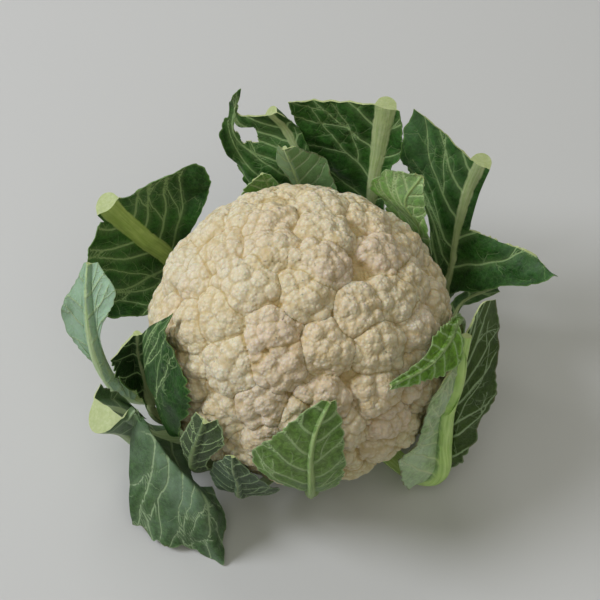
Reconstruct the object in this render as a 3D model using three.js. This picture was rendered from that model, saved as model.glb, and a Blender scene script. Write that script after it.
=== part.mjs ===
// A cauliflower head standing on its cut stem: curd, stem and trimmed wrapper leaves.
// Millimetres, +Z up. The origin is the middle of the stem's cut face.
import * as THREE from 'three';

// Driving dimensions
const CURD_RADIUS = 82;
const CURD_WAIST = 78; // height of the widest part
const CURD_TOP = 154;
const RIM_RADIUS = 58; // lowest line of the curd, where it turns under
const RIM_HEIGHT = 38;
const STEM_RADIUS = 24;
const STEM_HEIGHT = 50;
const STEM_CHAMFER = 1.5; // round the cut face
const GAP = 0.3; // between pieces that touch
const CURD_CLEARANCE = 2.5; // from the curd's outline to a leaf that lies on it

// Florets: domes on a golden-angle spiral from the top of the curd to its rim
const FLORET_COUNT = 88;
const FLORET_RADIUS = 19;
const FLORET_BULGE = 6;
const FLORET_SINK = 4.4; // how far the outline sinks where no dome covers it
const GOLDEN_ANGLE = Math.PI * (3 - Math.sqrt(5));
const FLORET_LOW_LIMIT = -0.6; // cosine of the polar angle of the lowest floret
const CURD_TURNS = 80; // facets round the curd
const UPPER_RINGS = 17; // of facets above the waist
const LOWER_RINGS = 9;

// Leaf build
const BLADE_THICKNESS = 1.2;
const FLANGE = 0.8; // edge left beside a bare stalk
const STALK_SHARE = 0.35; // of the midrib's length, up to where the blade starts
const RIB_STATIONS = [1, 0.55, -0.55, -1]; // across the midrib, left to right, in half widths
const RIB_SEARCH_STEPS = 60; // along the midrib, to find where a margin starts

const CURD_COLOUR = 0xd8c8a0;
const STEM_COLOUR = 0xb9c48e;
const DARK_LEAF = 0x2f4a1f;
const LIGHT_LEAF = 0x6f8f4e;
const WAXY_LEAF = 0x7f9a82;

// The leaves. A place on a leaf is [degrees from the leaf's turn, distance from the axis, height].
// rib runs up the midrib from the stem. left and right are the margins, leftMid and rightMid
// shape the blade on the way there, and leftTo and rightTo are the shares of the midrib at which
// the margins end. ribWidth and ribDepth are [at the stem, where the blade starts, at the top].
// A leaf has rows of cells along it and steps of them on each side of the midrib. holes lists
// [row, column] of cells that are torn away, counted from the stem and from the left margin.
const LEAVES = [
  {
    name: 'leaf_back', turn: 64, rows: 11, steps: 3, colour: DARK_LEAF,
    ribWidth: [16, 16, 12], ribDepth: [9, 8, 8],
    rib: [[-6, 26, 13], [-2, 60, 12], [0, 91, 28], [2, 99, 88], [2, 104, 116], [2, 109, 146]],
    left: [[5, 93, 32], [16, 103, 80], [24, 105, 102], [30, 109, 138]],
    right: [[-5, 93, 32], [-3, 100, 104], [-6, 105, 120], [-2, 110, 146]],
  },
  {
    name: 'leaf_right_back', turn: 34, rows: 12, steps: 4, colour: DARK_LEAF,
    ribWidth: [15, 15, 12], ribDepth: [9, 8, 9],
    rib: [
      [-14, 26, 13], [-6, 60, 12], [-2, 90, 27], [-3, 99, 50],
      [2, 108, 88], [4, 115, 110], [4, 120, 130],
    ],
    left: [[4, 92, 34], [8, 97, 80], [20, 104, 102], [24, 101, 127], [25, 115, 147]],
    right: [[-7, 93, 44], [-14, 107, 62], [-18, 120, 72], [-21, 132, 77], [-21, 145, 87]],
    rightTo: 0.75,
  },
  {
    name: 'leaf_right_ruffled', turn: 20, rows: 8, steps: 3, colour: DARK_LEAF,
    ribWidth: [7, 7, 3], ribDepth: [4, 4, 2],
    rib: [[-5, 26, 24], [-7, 60, 22], [-5, 86, 34], [2, 100, 46], [2, 122, 50]],
    left: [[-1, 87, 41], [4, 98, 49], [3, 118, 55]],
    right: [[-10, 87, 36], [2, 91, 42], [1, 106, 44], [1, 123, 47]],
  },
  {
    name: 'leaf_right_front', turn: -30, rows: 12, steps: 4, colour: WAXY_LEAF,
    ribWidth: [16, 10, 6], ribDepth: [9, 6, 4],
    rib: [
      [-10, 26, 13], [-10, 60, 12], [-10, 86, 13], [-6, 94, 20], [0, 90, 38],
      [4, 86, 60], [9, 85, 82], [16, 84, 95], [20, 84, 104],
    ],
    leftMid: [[-5, 95, 17], [0, 97, 34], [4, 97, 54], [12, 97, 76], [22, 95, 95], [29, 92, 112]],
    left: [[-4, 98, 16], [-1, 103, 28], [4, 106, 46], [13, 107, 68], [25, 104, 92], [32, 101, 108]],
    right: [[-17, 88, 12], [-20, 84, 33], [-20, 82, 54], [-14, 85, 78], [-10, 82, 97], [-4, 82, 101]],
  },
  {
    name: 'leaf_right_flap', turn: -6, rows: 9, steps: 3, colour: LIGHT_LEAF,
    ribWidth: [8, 6, 2], ribDepth: [4, 2, 1],
    rib: [
      [0, 26, 24], [2, 60, 22], [6, 85, 44], [8, 86, 70], [5, 84, 94],
      [-4, 79, 112], [-14, 77, 117], [-28, 74, 121], [-47, 70, 128],
    ],
    left: [[10, 86, 60], [5, 82, 102], [-8, 74, 121], [-25, 71, 125], [-47, 69, 129]],
    right: [[-2, 79, 115], [-12, 86, 110], [-23, 83, 112], [-37, 75, 121], [-48, 71, 127]],
  },
  {
    name: 'leaf_front', turn: -83, rows: 10, steps: 4, colour: LIGHT_LEAF,
    ribWidth: [8, 6, 2], ribDepth: [6, 4, 2],
    rib: [
      [0, 26, 13], [0, 60, 13], [-4, 74, 40], [-4, 84, 64],
      [-4, 86, 84], [-4, 81, 104], [-2, 74, 118], [4, 66, 130],
    ],
    left: [[1, 80, 52], [6, 85, 74], [8, 84, 92], [8, 78, 111], [7, 66, 130]],
    right: [
      [-8, 83, 62], [-12, 87, 76], [-19, 86, 86], [-25, 84, 97],
      [-17, 78, 115], [-8, 71, 125], [1, 66, 132],
    ],
  },
  {
    name: 'leaf_front_left', turn: -108, rows: 8, steps: 3, colour: WAXY_LEAF,
    ribWidth: [9, 6, 2], ribDepth: [5, 3, 1],
    rib: [[6, 26, 24], [3, 60, 22], [-6, 79, 30], [-5, 84, 60], [-6, 83, 92]],
    left: [[3, 74, 27], [9, 82, 56], [4, 83, 74], [-4, 83, 90]],
    right: [[-3, 74, 28], [-13, 86, 36], [-16, 85, 54], [-9, 84, 89]],
  },
  {
    name: 'leaf_left_front', turn: 205, rows: 11, steps: 6, colour: WAXY_LEAF,
    ribWidth: [16, 20, 20], ribDepth: [9, 11, 14],
    rib: [[9, 26, 13], [3, 60, 13], [-2, 88, 21], [-6, 99, 42], [-4, 110, 68]],
    leftMid: [[23, 88, 24], [28, 94, 46], [18, 95, 58], [6, 96, 68], [-1, 98, 70]],
    left: [[29, 84, 30], [37, 92, 14], [42, 112, 4], [33, 112, 5], [27, 119, 5], [16, 125, 6]],
    right: [[-8, 92, 26], [-12, 102, 46], [-12, 112, 68]],
  },
  {
    name: 'leaf_left_small', turn: 225, rows: 8, steps: 3, colour: LIGHT_LEAF,
    ribWidth: [9, 8, 3], ribDepth: [5, 3, 2],
    rib: [[7, 26, 24], [5, 60, 22], [3, 82, 40], [5, 88, 62], [7, 87, 84], [9, 80, 108]],
    left: [[8, 78, 40], [10, 86, 60], [12, 87, 80], [17, 83, 99], [13, 78, 112]],
    right: [[-3, 84, 42], [0, 88, 60], [1, 88, 84], [4, 80, 108]],
  },
  {
    name: 'leaf_left_inner', turn: 205, rows: 10, steps: 4, colour: DARK_LEAF,
    ribWidth: [10, 10, 4], ribDepth: [5, 4, 2],
    rib: [[-3, 26, 24], [-2, 60, 22], [-3, 85, 42], [-8, 87, 62], [-13, 88, 84], [-14, 86, 106]],
    rightMid: [[6, 86, 52], [5, 86, 72], [-1, 86, 92], [-8, 82, 110], [-12, 78, 118]],
    left: [[-5, 89, 50], [-7, 94, 66], [-9, 101, 84], [-10, 102, 98]],
    right: [[17, 84, 66], [19, 79, 112], [14, 73, 122], [5, 72, 127], [-4, 73, 128], [-9, 66, 132]],
  },
  {
    name: 'leaf_left_outer', turn: 183, rows: 11, steps: 3, colour: WAXY_LEAF,
    ribWidth: [15, 14, 3], ribDepth: [8, 6, 2],
    rib: [
      [-8, 26, 13], [-3, 60, 12], [2, 97, 22], [1, 109, 48],
      [-3, 113, 72], [-9, 114, 94], [-15, 114, 112],
    ],
    left: [[5, 95, 28], [2, 107, 54], [-2, 109, 78], [-8, 99, 106], [-15, 109, 114]],
    right: [[-1, 99, 26], [0, 114, 50], [-6, 130, 80], [-11, 123, 98], [-15, 117, 111]],
  },
  {
    name: 'leaf_left_upper', turn: 150, rows: 11, steps: 4, colour: DARK_LEAF,
    ribWidth: [16, 18, 15], ribDepth: [9, 10, 9],
    rib: [[-14, 26, 13], [-6, 60, 13], [-3, 84, 28], [-8, 94, 54], [-2, 106, 88], [2, 117, 118]],
    left: [[4, 86, 34], [1, 94, 58], [15, 86, 66], [24, 105, 76], [13, 123, 94], [6, 118, 114]],
    right: [
      [-10, 84, 34], [-13, 93, 62], [-19, 84, 102], [-27, 88, 115],
      [-24, 96, 126], [-14, 102, 124], [-2, 112, 119],
    ],
    leftTo: 0.96,
  },
  {
    name: 'leaf_back_left', turn: 98, rows: 11, steps: 4, colour: DARK_LEAF,
    ribWidth: [16, 15, 8], ribDepth: [8, 7, 5],
    rib: [[-1, 26, 13], [0, 60, 12], [-2, 90, 30], [-7, 98, 102], [-3, 107, 118], [1, 109, 130]],
    leftMid: [[3, 93, 56], [5, 99, 90], [9, 112, 110], [9, 117, 124]],
    left: [[6, 94, 56], [10, 102, 82], [15, 114, 106], [12, 121, 126], [8, 118, 146]],
    right: [[-7, 91, 56], [-11, 99, 104], [-7, 106, 120], [-3, 107, 130]],
    holes: [[9, 1]],
  },
  {
    name: 'leaf_back_flap', turn: 86, rows: 7, steps: 3, colour: WAXY_LEAF,
    ribWidth: [9, 8, 3], ribDepth: [5, 4, 2],
    rib: [[-4, 26, 24], [-4, 60, 22], [-2, 84, 42], [6, 89, 96], [10, 92, 120]],
    left: [[4, 86, 60], [9, 86, 102], [13, 90, 112], [12, 94, 122]],
    right: [[-6, 86, 60], [-9, 87, 90], [-7, 89, 102], [-3, 92, 112], [6, 93, 121]],
  },
  {
    name: 'leaf_back_small', turn: 46, rows: 8, steps: 3, colour: LIGHT_LEAF,
    ribWidth: [10, 8, 3], ribDepth: [5, 4, 2],
    rib: [[4, 26, 24], [2, 60, 22], [-1, 84, 42], [-5, 86, 92], [2, 83, 113], [1, 93, 127]],
    left: [[7, 86, 60], [9, 84, 90], [11, 83, 103], [17, 80, 114], [13, 85, 126], [3, 91, 128]],
    right: [[-8, 86, 60], [-13, 85, 88], [-5, 87, 108], [-1, 91, 126]],
  },
  {
    name: 'leaf_back_tiny', turn: 106, rows: 6, steps: 2, colour: LIGHT_LEAF,
    ribWidth: [8, 6, 2], ribDepth: [4, 3, 1],
    rib: [[6, 26, 24], [5, 60, 22], [2, 85, 42], [-4, 89, 88], [-2, 92, 100]],
    left: [[7, 86, 60], [5, 90, 93], [2, 90, 98]],
    right: [[-3, 86, 60], [-8, 88, 90], [-5, 91, 99]],
  },
];

const radians = THREE.MathUtils.degToRad;
const mix = THREE.MathUtils.lerp;

function material(colour, roughness) {
  return new THREE.MeshStandardMaterial({ color: colour, roughness, metalness: 0 });
}

function meshFrom(name, points, triangles, surface) {
  const geometry = new THREE.BufferGeometry();
  geometry.setFromPoints(points);
  geometry.setIndex(triangles);
  geometry.computeVertexNormals();
  const mesh = new THREE.Mesh(geometry, surface);
  mesh.name = name;
  return mesh;
}

// Round places are Vector3(angle in radians, distance from the axis, height).
function toSpace(round) {
  return new THREE.Vector3(round.y * Math.cos(round.x), round.y * Math.sin(round.x), round.z);
}

function toRound(point) {
  return new THREE.Vector3(Math.atan2(point.y, point.x), Math.hypot(point.x, point.y), point.z);
}

// ---- curd ----

// The curd's smooth outline: its radius at a height above the rim.
function curdRadiusAt(height) {
  const above = height > CURD_WAIST;
  const reach = above ? CURD_TOP - CURD_WAIST : CURD_WAIST - RIM_HEIGHT;
  const share = Math.min(1, Math.abs(height - CURD_WAIST) / reach);
  const core = above ? 0 : RIM_RADIUS;
  return core + (CURD_RADIUS - core) * Math.sqrt(1 - share * share);
}

function curdProfile() {
  const profile = [];
  for (let i = 1; i <= UPPER_RINGS; i += 1) {
    const a = (i / UPPER_RINGS) * Math.PI / 2;
    profile.push([CURD_RADIUS * Math.sin(a), CURD_WAIST + (CURD_TOP - CURD_WAIST) * Math.cos(a)]);
  }
  for (let i = 1; i <= LOWER_RINGS; i += 1) {
    const a = (i / LOWER_RINGS) * Math.PI / 2;
    const radius = RIM_RADIUS + (CURD_RADIUS - RIM_RADIUS) * Math.cos(a);
    profile.push([radius, CURD_WAIST - (CURD_WAIST - RIM_HEIGHT) * Math.sin(a)]);
  }
  profile.push([(RIM_RADIUS + STEM_RADIUS) / 2, (RIM_HEIGHT + STEM_HEIGHT) / 2]);
  profile.push([STEM_RADIUS, STEM_HEIGHT + GAP]);
  return profile;
}

function floretCentres() {
  const centres = [];
  for (let i = 0; i < FLORET_COUNT; i += 1) {
    const cosine = 1 - ((i + 0.5) / FLORET_COUNT) * (1 - FLORET_LOW_LIMIT);
    const sine = Math.sqrt(1 - cosine * cosine);
    const height = cosine > 0 ? CURD_TOP - CURD_WAIST : CURD_WAIST - RIM_HEIGHT;
    const turn = i * GOLDEN_ANGLE;
    const z = CURD_WAIST + height * cosine;
    const radius = cosine > 0 ? CURD_RADIUS * sine : curdRadiusAt(z);
    centres.push(new THREE.Vector3(radius * Math.cos(turn), radius * Math.sin(turn), z));
  }
  return centres;
}

function floretHeight(point, centres) {
  let dome = 0;
  for (const centre of centres) {
    const near = 1 - point.distanceToSquared(centre) / (FLORET_RADIUS * FLORET_RADIUS);
    dome = Math.max(dome, near);
  }
  return FLORET_BULGE * dome - FLORET_SINK;
}

function makeCurd() {
  const turns = CURD_TURNS;
  const profile = curdProfile();
  const centres = floretCentres();
  const middle = new THREE.Vector3(0, 0, CURD_WAIST);
  const outerRings = profile.length - 2; // the last two rings are the smooth underside
  const points = [new THREE.Vector3(0, 0, CURD_TOP)];
  profile.forEach(([radius, height], ring) => {
    for (let k = 0; k < turns; k += 1) {
      const point = toSpace(new THREE.Vector3((k / turns) * 2 * Math.PI, radius, height));
      if (ring < outerRings - 1) {
        const outward = point.clone().sub(middle).normalize();
        point.addScaledVector(outward, floretHeight(point, centres));
      }
      points.push(point);
    }
  });
  points.push(new THREE.Vector3(0, 0, STEM_HEIGHT + GAP));
  const last = points.length - 1;
  const triangles = [];
  for (let k = 0; k < turns; k += 1) {
    const next = (k + 1) % turns;
    triangles.push(0, 1 + k, 1 + next);
    for (let ring = 0; ring < profile.length - 1; ring += 1) {
      const a = 1 + ring * turns + k;
      const b = 1 + ring * turns + next;
      triangles.push(a, a + turns, b + turns, a, b + turns, b);
    }
    const rim = 1 + (profile.length - 1) * turns;
    triangles.push(rim + k, last, rim + next);
  }
  return meshFrom('curd', points, triangles, material(CURD_COLOUR, 0.7));
}

// ---- stem ----

function makeStem() {
  const profile = [
    [0, 0], [STEM_RADIUS - STEM_CHAMFER, 0], [STEM_RADIUS, STEM_CHAMFER],
    [STEM_RADIUS, STEM_HEIGHT * 0.5], [STEM_RADIUS, STEM_HEIGHT], [0, STEM_HEIGHT],
  ].map(([radius, height]) => new THREE.Vector2(radius, height));
  const geometry = new THREE.LatheGeometry(profile, 40);
  geometry.rotateX(Math.PI / 2);
  const mesh = new THREE.Mesh(geometry, material(STEM_COLOUR, 0.6));
  mesh.name = 'stem';
  return mesh;
}

// ---- leaves ----

function curveThrough(places) {
  const points = places.map(([degrees, out, up]) => (
    toSpace(new THREE.Vector3(radians(degrees), out, up))
  ));
  return new THREE.CatmullRomCurve3(points, false, 'centripetal');
}

// The share of a curve's length at which it passes nearest to a point.
function nearestShare(curve, point) {
  const distances = curve.getSpacedPoints(RIB_SEARCH_STEPS).map((place) => place.distanceTo(point));
  return distances.indexOf(Math.min(...distances)) / RIB_SEARCH_STEPS;
}

function leafSide(rib, mid, margin, to = 1) {
  const curves = [mid, margin].filter(Boolean).map(curveThrough);
  return { curves, from: nearestShare(rib, curves[curves.length - 1].getPointAt(0)), to };
}

// Where one side's guides stand at a share of the rib; none beside the bare stalk.
function guidesAt(side, share) {
  if (share < side.from || share > side.to) {
    return [];
  }
  const along = (share - side.from) / (side.to - side.from);
  return side.curves.map((curve) => curve.getPointAt(along));
}

// A place between round places, on a smooth line through all of them.
function between(places, share) {
  if (places.length === 2) {
    return places[0].clone().lerp(places[1], share);
  }
  return new THREE.CatmullRomCurve3(places).getPoint(share);
}

function keepOffCurd(point, clearance) {
  const round = toRound(point);
  if (round.z > RIM_HEIGHT && round.z < CURD_TOP) {
    round.y = Math.max(round.y, curdRadiusAt(round.z) + clearance);
  }
  return toSpace(round);
}

function ribSize([atStem, atBlade, atTop], share) {
  return share < STALK_SHARE
    ? mix(atStem, atBlade, share / STALK_SHARE)
    : mix(atBlade, atTop, (share - STALK_SHARE) / (1 - STALK_SHARE));
}

// Across the midrib, pointing to the leaf's left.
function leftOf(start, tangent, leftGuides, rightGuides) {
  const left = new THREE.Vector3(0, 0, 0);
  if (leftGuides.length) {
    left.add(leftGuides[0].clone().sub(start).normalize());
  }
  if (rightGuides.length) {
    left.sub(rightGuides[0].clone().sub(start).normalize());
  }
  if (!leftGuides.length && !rightGuides.length) {
    left.set(0, 1, 0);
  }
  return left.addScaledVector(tangent, -left.dot(tangent)).normalize();
}

function sidePoints(edge, outward, guides, steps) {
  const flange = edge.clone().addScaledVector(outward, FLANGE);
  const places = [edge, ...(guides.length ? guides : [flange])].map(toRound);
  const points = [];
  for (let i = 1; i <= steps; i += 1) {
    points.push(toSpace(between(places, i / steps)));
  }
  return points;
}

// The upper face of the leaf as rows of points, each from the left margin to the right one.
function upperFace(leaf) {
  const rib = curveThrough(leaf.rib);
  const leftSide = leafSide(rib, leaf.leftMid, leaf.left, leaf.leftTo);
  const rightSide = leafSide(rib, leaf.rightMid, leaf.right, leaf.rightTo);
  const rows = [];
  for (let j = 0; j <= leaf.rows; j += 1) {
    const share = j / leaf.rows;
    const start = rib.getPointAt(share);
    const tangent = rib.getTangentAt(share);
    const leftGuides = guidesAt(leftSide, share);
    const rightGuides = guidesAt(rightSide, share);
    const left = leftOf(start, tangent, leftGuides, rightGuides);
    const half = ribSize(leaf.ribWidth, share) / 2;
    const stations = RIB_STATIONS.map((s) => start.clone().addScaledVector(left, s * half));
    const right = left.clone().negate();
    const leftPoints = sidePoints(stations[0], left, leftGuides, leaf.steps).reverse();
    const rightPoints = sidePoints(stations[stations.length - 1], right, rightGuides, leaf.steps);
    const row = [...leftPoints, ...stations, ...rightPoints];
    rows.push(row.map((point) => keepOffCurd(point, CURD_CLEARANCE + BLADE_THICKNESS)));
  }
  return rows;
}

// The direction out of the under face at each point of the upper face.
function underDirections(rows) {
  const last = rows.length - 1;
  return rows.map((row, j) => row.map((_, i) => {
    const across = row[Math.min(i + 1, row.length - 1)].clone().sub(row[Math.max(i - 1, 0)]);
    const along = rows[Math.min(j + 1, last)][i].clone().sub(rows[Math.max(j - 1, 0)][i]);
    return along.cross(across).normalize();
  }));
}

function thicknessAt(leaf, share, column) {
  const station = RIB_STATIONS[column - leaf.steps];
  if (station === undefined) {
    return BLADE_THICKNESS;
  }
  return BLADE_THICKNESS + ribSize(leaf.ribDepth, share) * Math.sqrt(1 - station * station);
}

function makeLeaf(leaf) {
  const upper = upperFace(leaf);
  const directions = underDirections(upper);
  const under = upper.map((row, j) => row.map((point, i) => {
    const thickness = thicknessAt(leaf, j / leaf.rows, i);
    return keepOffCurd(point.clone().addScaledVector(directions[j][i], thickness), CURD_CLEARANCE);
  }));
  const points = [...upper.flat(), ...under.flat()];
  const rowLength = upper[0].length;
  const toUnder = points.length / 2; // from a point's index to that of the point under it
  const isSolid = (j, i) => j >= 0 && j < leaf.rows && i >= 0 && i < rowLength - 1
    && !(leaf.holes || []).some(([row, column]) => row === j && column === i);
  const triangles = [];
  const quad = (a, b, c, d) => triangles.push(a, b, c, a, c, d);
  for (let j = 0; j < leaf.rows; j += 1) {
    for (let i = 0; i < rowLength - 1; i += 1) {
      if (!isSolid(j, i)) {
        continue;
      }
      const first = j * rowLength + i;
      const corners = [first, first + 1, first + rowLength + 1, first + rowLength];
      const neighbours = [[j - 1, i], [j, i + 1], [j + 1, i], [j, i - 1]];
      quad(...corners);
      quad(...corners.map((corner) => corner + toUnder).reverse());
      neighbours.forEach(([row, column], k) => {
        if (!isSolid(row, column)) {
          const a = corners[k];
          const b = corners[(k + 1) % 4];
          quad(a, a + toUnder, b + toUnder, b);
        }
      });
    }
  }
  const mesh = meshFrom(leaf.name, points, triangles, material(leaf.colour, 0.55));
  mesh.geometry.rotateZ(radians(leaf.turn));
  return mesh;
}

const cauliflower = new THREE.Group();
cauliflower.name = 'cauliflower';
cauliflower.add(makeCurd(), makeStem(), ...LEAVES.map(makeLeaf));

export default cauliflower;
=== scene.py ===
"""A cauliflower head on its cut stem: the looks of its curd, stem and wrapper leaves."""

import bpy
import numpy as np
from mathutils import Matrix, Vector
from mathutils.kdtree import KDTree


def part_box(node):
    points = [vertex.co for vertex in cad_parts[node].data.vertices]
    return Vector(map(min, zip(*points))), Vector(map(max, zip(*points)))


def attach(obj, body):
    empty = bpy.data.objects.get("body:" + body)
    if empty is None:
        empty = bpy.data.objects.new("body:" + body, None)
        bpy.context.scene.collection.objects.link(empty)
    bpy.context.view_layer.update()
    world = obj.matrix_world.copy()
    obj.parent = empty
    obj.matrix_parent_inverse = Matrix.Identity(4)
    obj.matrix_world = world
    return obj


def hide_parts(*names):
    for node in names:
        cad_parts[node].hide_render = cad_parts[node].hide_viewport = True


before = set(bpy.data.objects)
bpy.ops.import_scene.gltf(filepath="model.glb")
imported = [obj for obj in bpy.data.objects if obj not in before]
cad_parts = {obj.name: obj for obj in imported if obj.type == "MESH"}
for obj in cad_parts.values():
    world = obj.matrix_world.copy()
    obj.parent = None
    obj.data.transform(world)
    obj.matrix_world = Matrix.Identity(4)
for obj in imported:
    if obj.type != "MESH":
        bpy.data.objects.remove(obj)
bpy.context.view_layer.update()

# Lengths are in millimetres until a mesh is made.
MM = 0.001
curd_low, curd_high = (np.array(corner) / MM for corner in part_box("curd"))
stem_low, stem_high = (np.array(corner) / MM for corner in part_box("stem"))

# ---- curd sizes, as in the CAD model ----
FLORET_CREST = 1.1  # how far the CAD model's domes stand out of the curd's smooth outline
CURD_TOP = curd_high[2] - FLORET_CREST
CURD_RADIUS = (curd_high[0] - curd_low[0]) / 2 - FLORET_CREST
RIM_HEIGHT = curd_low[2]
RIM_RADIUS = 0.71 * CURD_RADIUS
CURD_WAIST = RIM_HEIGHT + 0.345 * (CURD_TOP - RIM_HEIGHT)
STEM_RADIUS = stem_high[0]
STEM_TOP = stem_high[2]
GAP = 0.3
CURD_CLEARANCE = 2.5  # from the curd's outline to a leaf that lies on it

FLORET_COUNT = 104
FLORET_RADIUS = 19
FLORET_STRAY = 4.0  # how far a floret lies off its even place
FLORET_LIFT = 1.4  # how far florets differ in height
FLORET_LOW_LIMIT = -0.6  # cosine of the polar angle of the lowest floret
GOLDEN_ANGLE = np.pi * (3 - 5 ** 0.5)
FLORET_BEND = 1.8  # how far a floret's outline strays
FLORET_LEVEL = 0.7  # what puts the florets' mean height at 0
FLORET_RELIEF = 0.42  # a tight floret's height, over its ball's
LOOSE_RELIEF = 0.26  # and what a loose one has more
LOOSE_SIDE = np.array([0.55, -0.75, -0.1])  # the way to where the florets are loose
CREASE_ROUNDING = 1.4  # of the edges between two tight florets
CREASE_SHARPENING = 0.9  # and how much less it is between loose ones
CREASE_DEPTH = 1.3  # of the narrow line between two florets, where the curd is loose
BRANCHES = 11  # thick branches on the underside, each of which forks once
BRANCH_GROOVE = 3.0

CURD_SEED = 7
FINE_EDGE = 0.76  # triangle edge on the curd's dome
EDGE_GAIN = 0.9  # how much longer it is at the rim
COARSE_EDGE = 2.0  # and on its hidden underside
# Balls that bulge out of the florets, coarse to fine: [spacing, strength where the curd is tight,
# strength where it is loose]
LUMP_LEVELS = [[9.5, 0.60, 0.80], [4.4, 0.60, 0.72]]
LUMP_SEED = 11
LUMP_JITTER = 0.2  # how far a ball lies off its even place, over the spacing
BALL_SHARE = 0.95  # a ball's radius over the spacing
BALL_LEVEL = 0.14  # what puts the balls' mean height at 0, over a ball's radius
PACKING = 0.87  # area for each place, over the square of the spacing
TRIANGLE_HEIGHT = 0.866  # of an even triangle, over its edge

# ---- stem sizes ----
STEM_ROUNDING = 1.5
STEM_EDGE = 0.8
SCAR_COUNT = 13

# ---- leaf build ----
BLADE_THICKNESS = 1.0
FLANGE = 0.8  # edge left beside a bare stalk
STALK_SHARE = 0.35  # of the midrib's length, up to where the blade starts
FLOOR_CLEARANCE = 0.6
VEIN_STEP = 0.6
FORK_SHARE = 0.3  # share of a side vein's branches that are nearly as wide as it is
SMALL_WIDTHS = (0.6, 0.35)  # at a small vein's start and end
TWIG_WIDTHS = (0.4, 0.25)
VEIN_RELIEF = 0.6  # how far a vein stands out of the underside, over its width
FAR = 12.0  # distances from a vein are cut off here
CROWDED = 0.25  # row spacing, over its even value, below which no vein is drawn
PUFF_REACH = 4.5  # from a vein to where the blade has puffed up
SMALL_PUFF = 0.15  # rise for each mm from a small vein, over the puff
MARGIN_SHARE = 0.4  # the margin's thickness, over the blade's
MARGIN_REACH = 12  # from the margin to where the blade has its full thickness
BAND_REACH = 25  # along the midrib, from where the blade starts to where its pale band is narrow
CUT_ANGLE = np.radians(50)  # between faces, from which their edge is sharp
ROW_SPACING = 1.1
COLUMN_SPACING = 1.1
RIB_COLUMNS = 12
CURVE_SHARES = np.linspace(0, 1, 400)  # where a curve's length is measured
ACROSS_RIB = np.linspace(1, -1, RIB_COLUMNS + 1)  # from the midrib's left edge to its right one
TURN_REACH = 5  # rows over which the direction across the midrib is evened out


# ---- numbers and noise ----

def unit(vectors):
    lengths = np.linalg.norm(vectors, axis=-1, keepdims=True)
    return vectors / np.maximum(lengths, 1e-9)


def smooth(low, high, values):
    """0 below low, 1 above high, and an even S between them."""
    share = np.clip((values - low) / (high - low), 0, 1)
    return share * share * (3 - 2 * share)


def waves(places, length, seed, count=10):
    """Smooth noise, mostly from -1 to 1, whose bumps are about length apart."""
    random = np.random.default_rng(seed)
    directions = unit(random.normal(size=(count, places.shape[-1])))
    pitches = 2 * np.pi / (length * random.uniform(0.7, 1.6, count))
    phases = random.uniform(0, 2 * np.pi, count)
    total = np.sin(places @ (directions * pitches[:, None]).T + phases).sum(axis=-1)
    return total / (1.6 * (count / 2) ** 0.5)


def nearest(places, centres, count):
    """For each place, the indices of the centres nearest to it and their distances."""
    tree = KDTree(len(centres))
    for index, centre in enumerate(centres):
        tree.insert(centre, index)
    tree.balance()
    found = [tree.find_n(place, count) for place in places]
    indices = np.array([[hit[1] for hit in hits] for hits in found])
    distances = np.array([[hit[2] for hit in hits] for hits in found])
    return indices, distances


# ---- meshes ----

def make_object(name, points, faces, attributes, materials, face_materials=None):
    """A mesh object from points in mm, with a number or a vector for each point."""
    mesh = bpy.data.meshes.new(name)
    mesh.from_pydata((points * MM).tolist(), [], faces.tolist())
    for label, values in attributes.items():
        kind, field = ("FLOAT", "value") if values.ndim == 1 else ("FLOAT_VECTOR", "vector")
        made = mesh.attributes.new(label, kind, "POINT")
        made.data.foreach_set(field, values.astype(np.float32).ravel())
    for material in materials:
        mesh.materials.append(material)
    if face_materials is not None:
        mesh.polygons.foreach_set("material_index", face_materials)
    mesh.polygons.foreach_set("use_smooth", np.ones(len(faces), bool))
    mesh.update()
    made = bpy.data.objects.new(name, mesh)
    bpy.context.collection.objects.link(made)
    return made


def point_normals(points, triangles):
    corners = points[triangles]
    across = np.cross(corners[:, 1] - corners[:, 0], corners[:, 2] - corners[:, 0])
    total = np.zeros_like(points)
    for corner in range(3):
        for axis in range(3):
            total[:, axis] += np.bincount(triangles[:, corner], across[:, axis], len(points))
    return unit(total)


def ring_strip(upper_angles, lower_angles, upper_start, lower_start):
    """Triangles between two rings that hold different numbers of points."""
    upper_count, lower_count = len(upper_angles), len(lower_angles)
    upper_middles = upper_angles + np.pi / upper_count
    lower_middles = lower_angles + np.pi / lower_count
    i = np.arange(upper_count)
    below = np.searchsorted(lower_middles, upper_middles) % lower_count
    j = np.arange(lower_count)
    above = np.searchsorted(upper_middles, lower_middles) % upper_count
    next_i, next_j = (i + 1) % upper_count, (j + 1) % lower_count
    hanging = np.stack([upper_start + i, lower_start + below, upper_start + next_i], 1)
    standing = np.stack([lower_start + j, lower_start + next_j, upper_start + above], 1)
    return [hanging, standing]


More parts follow.
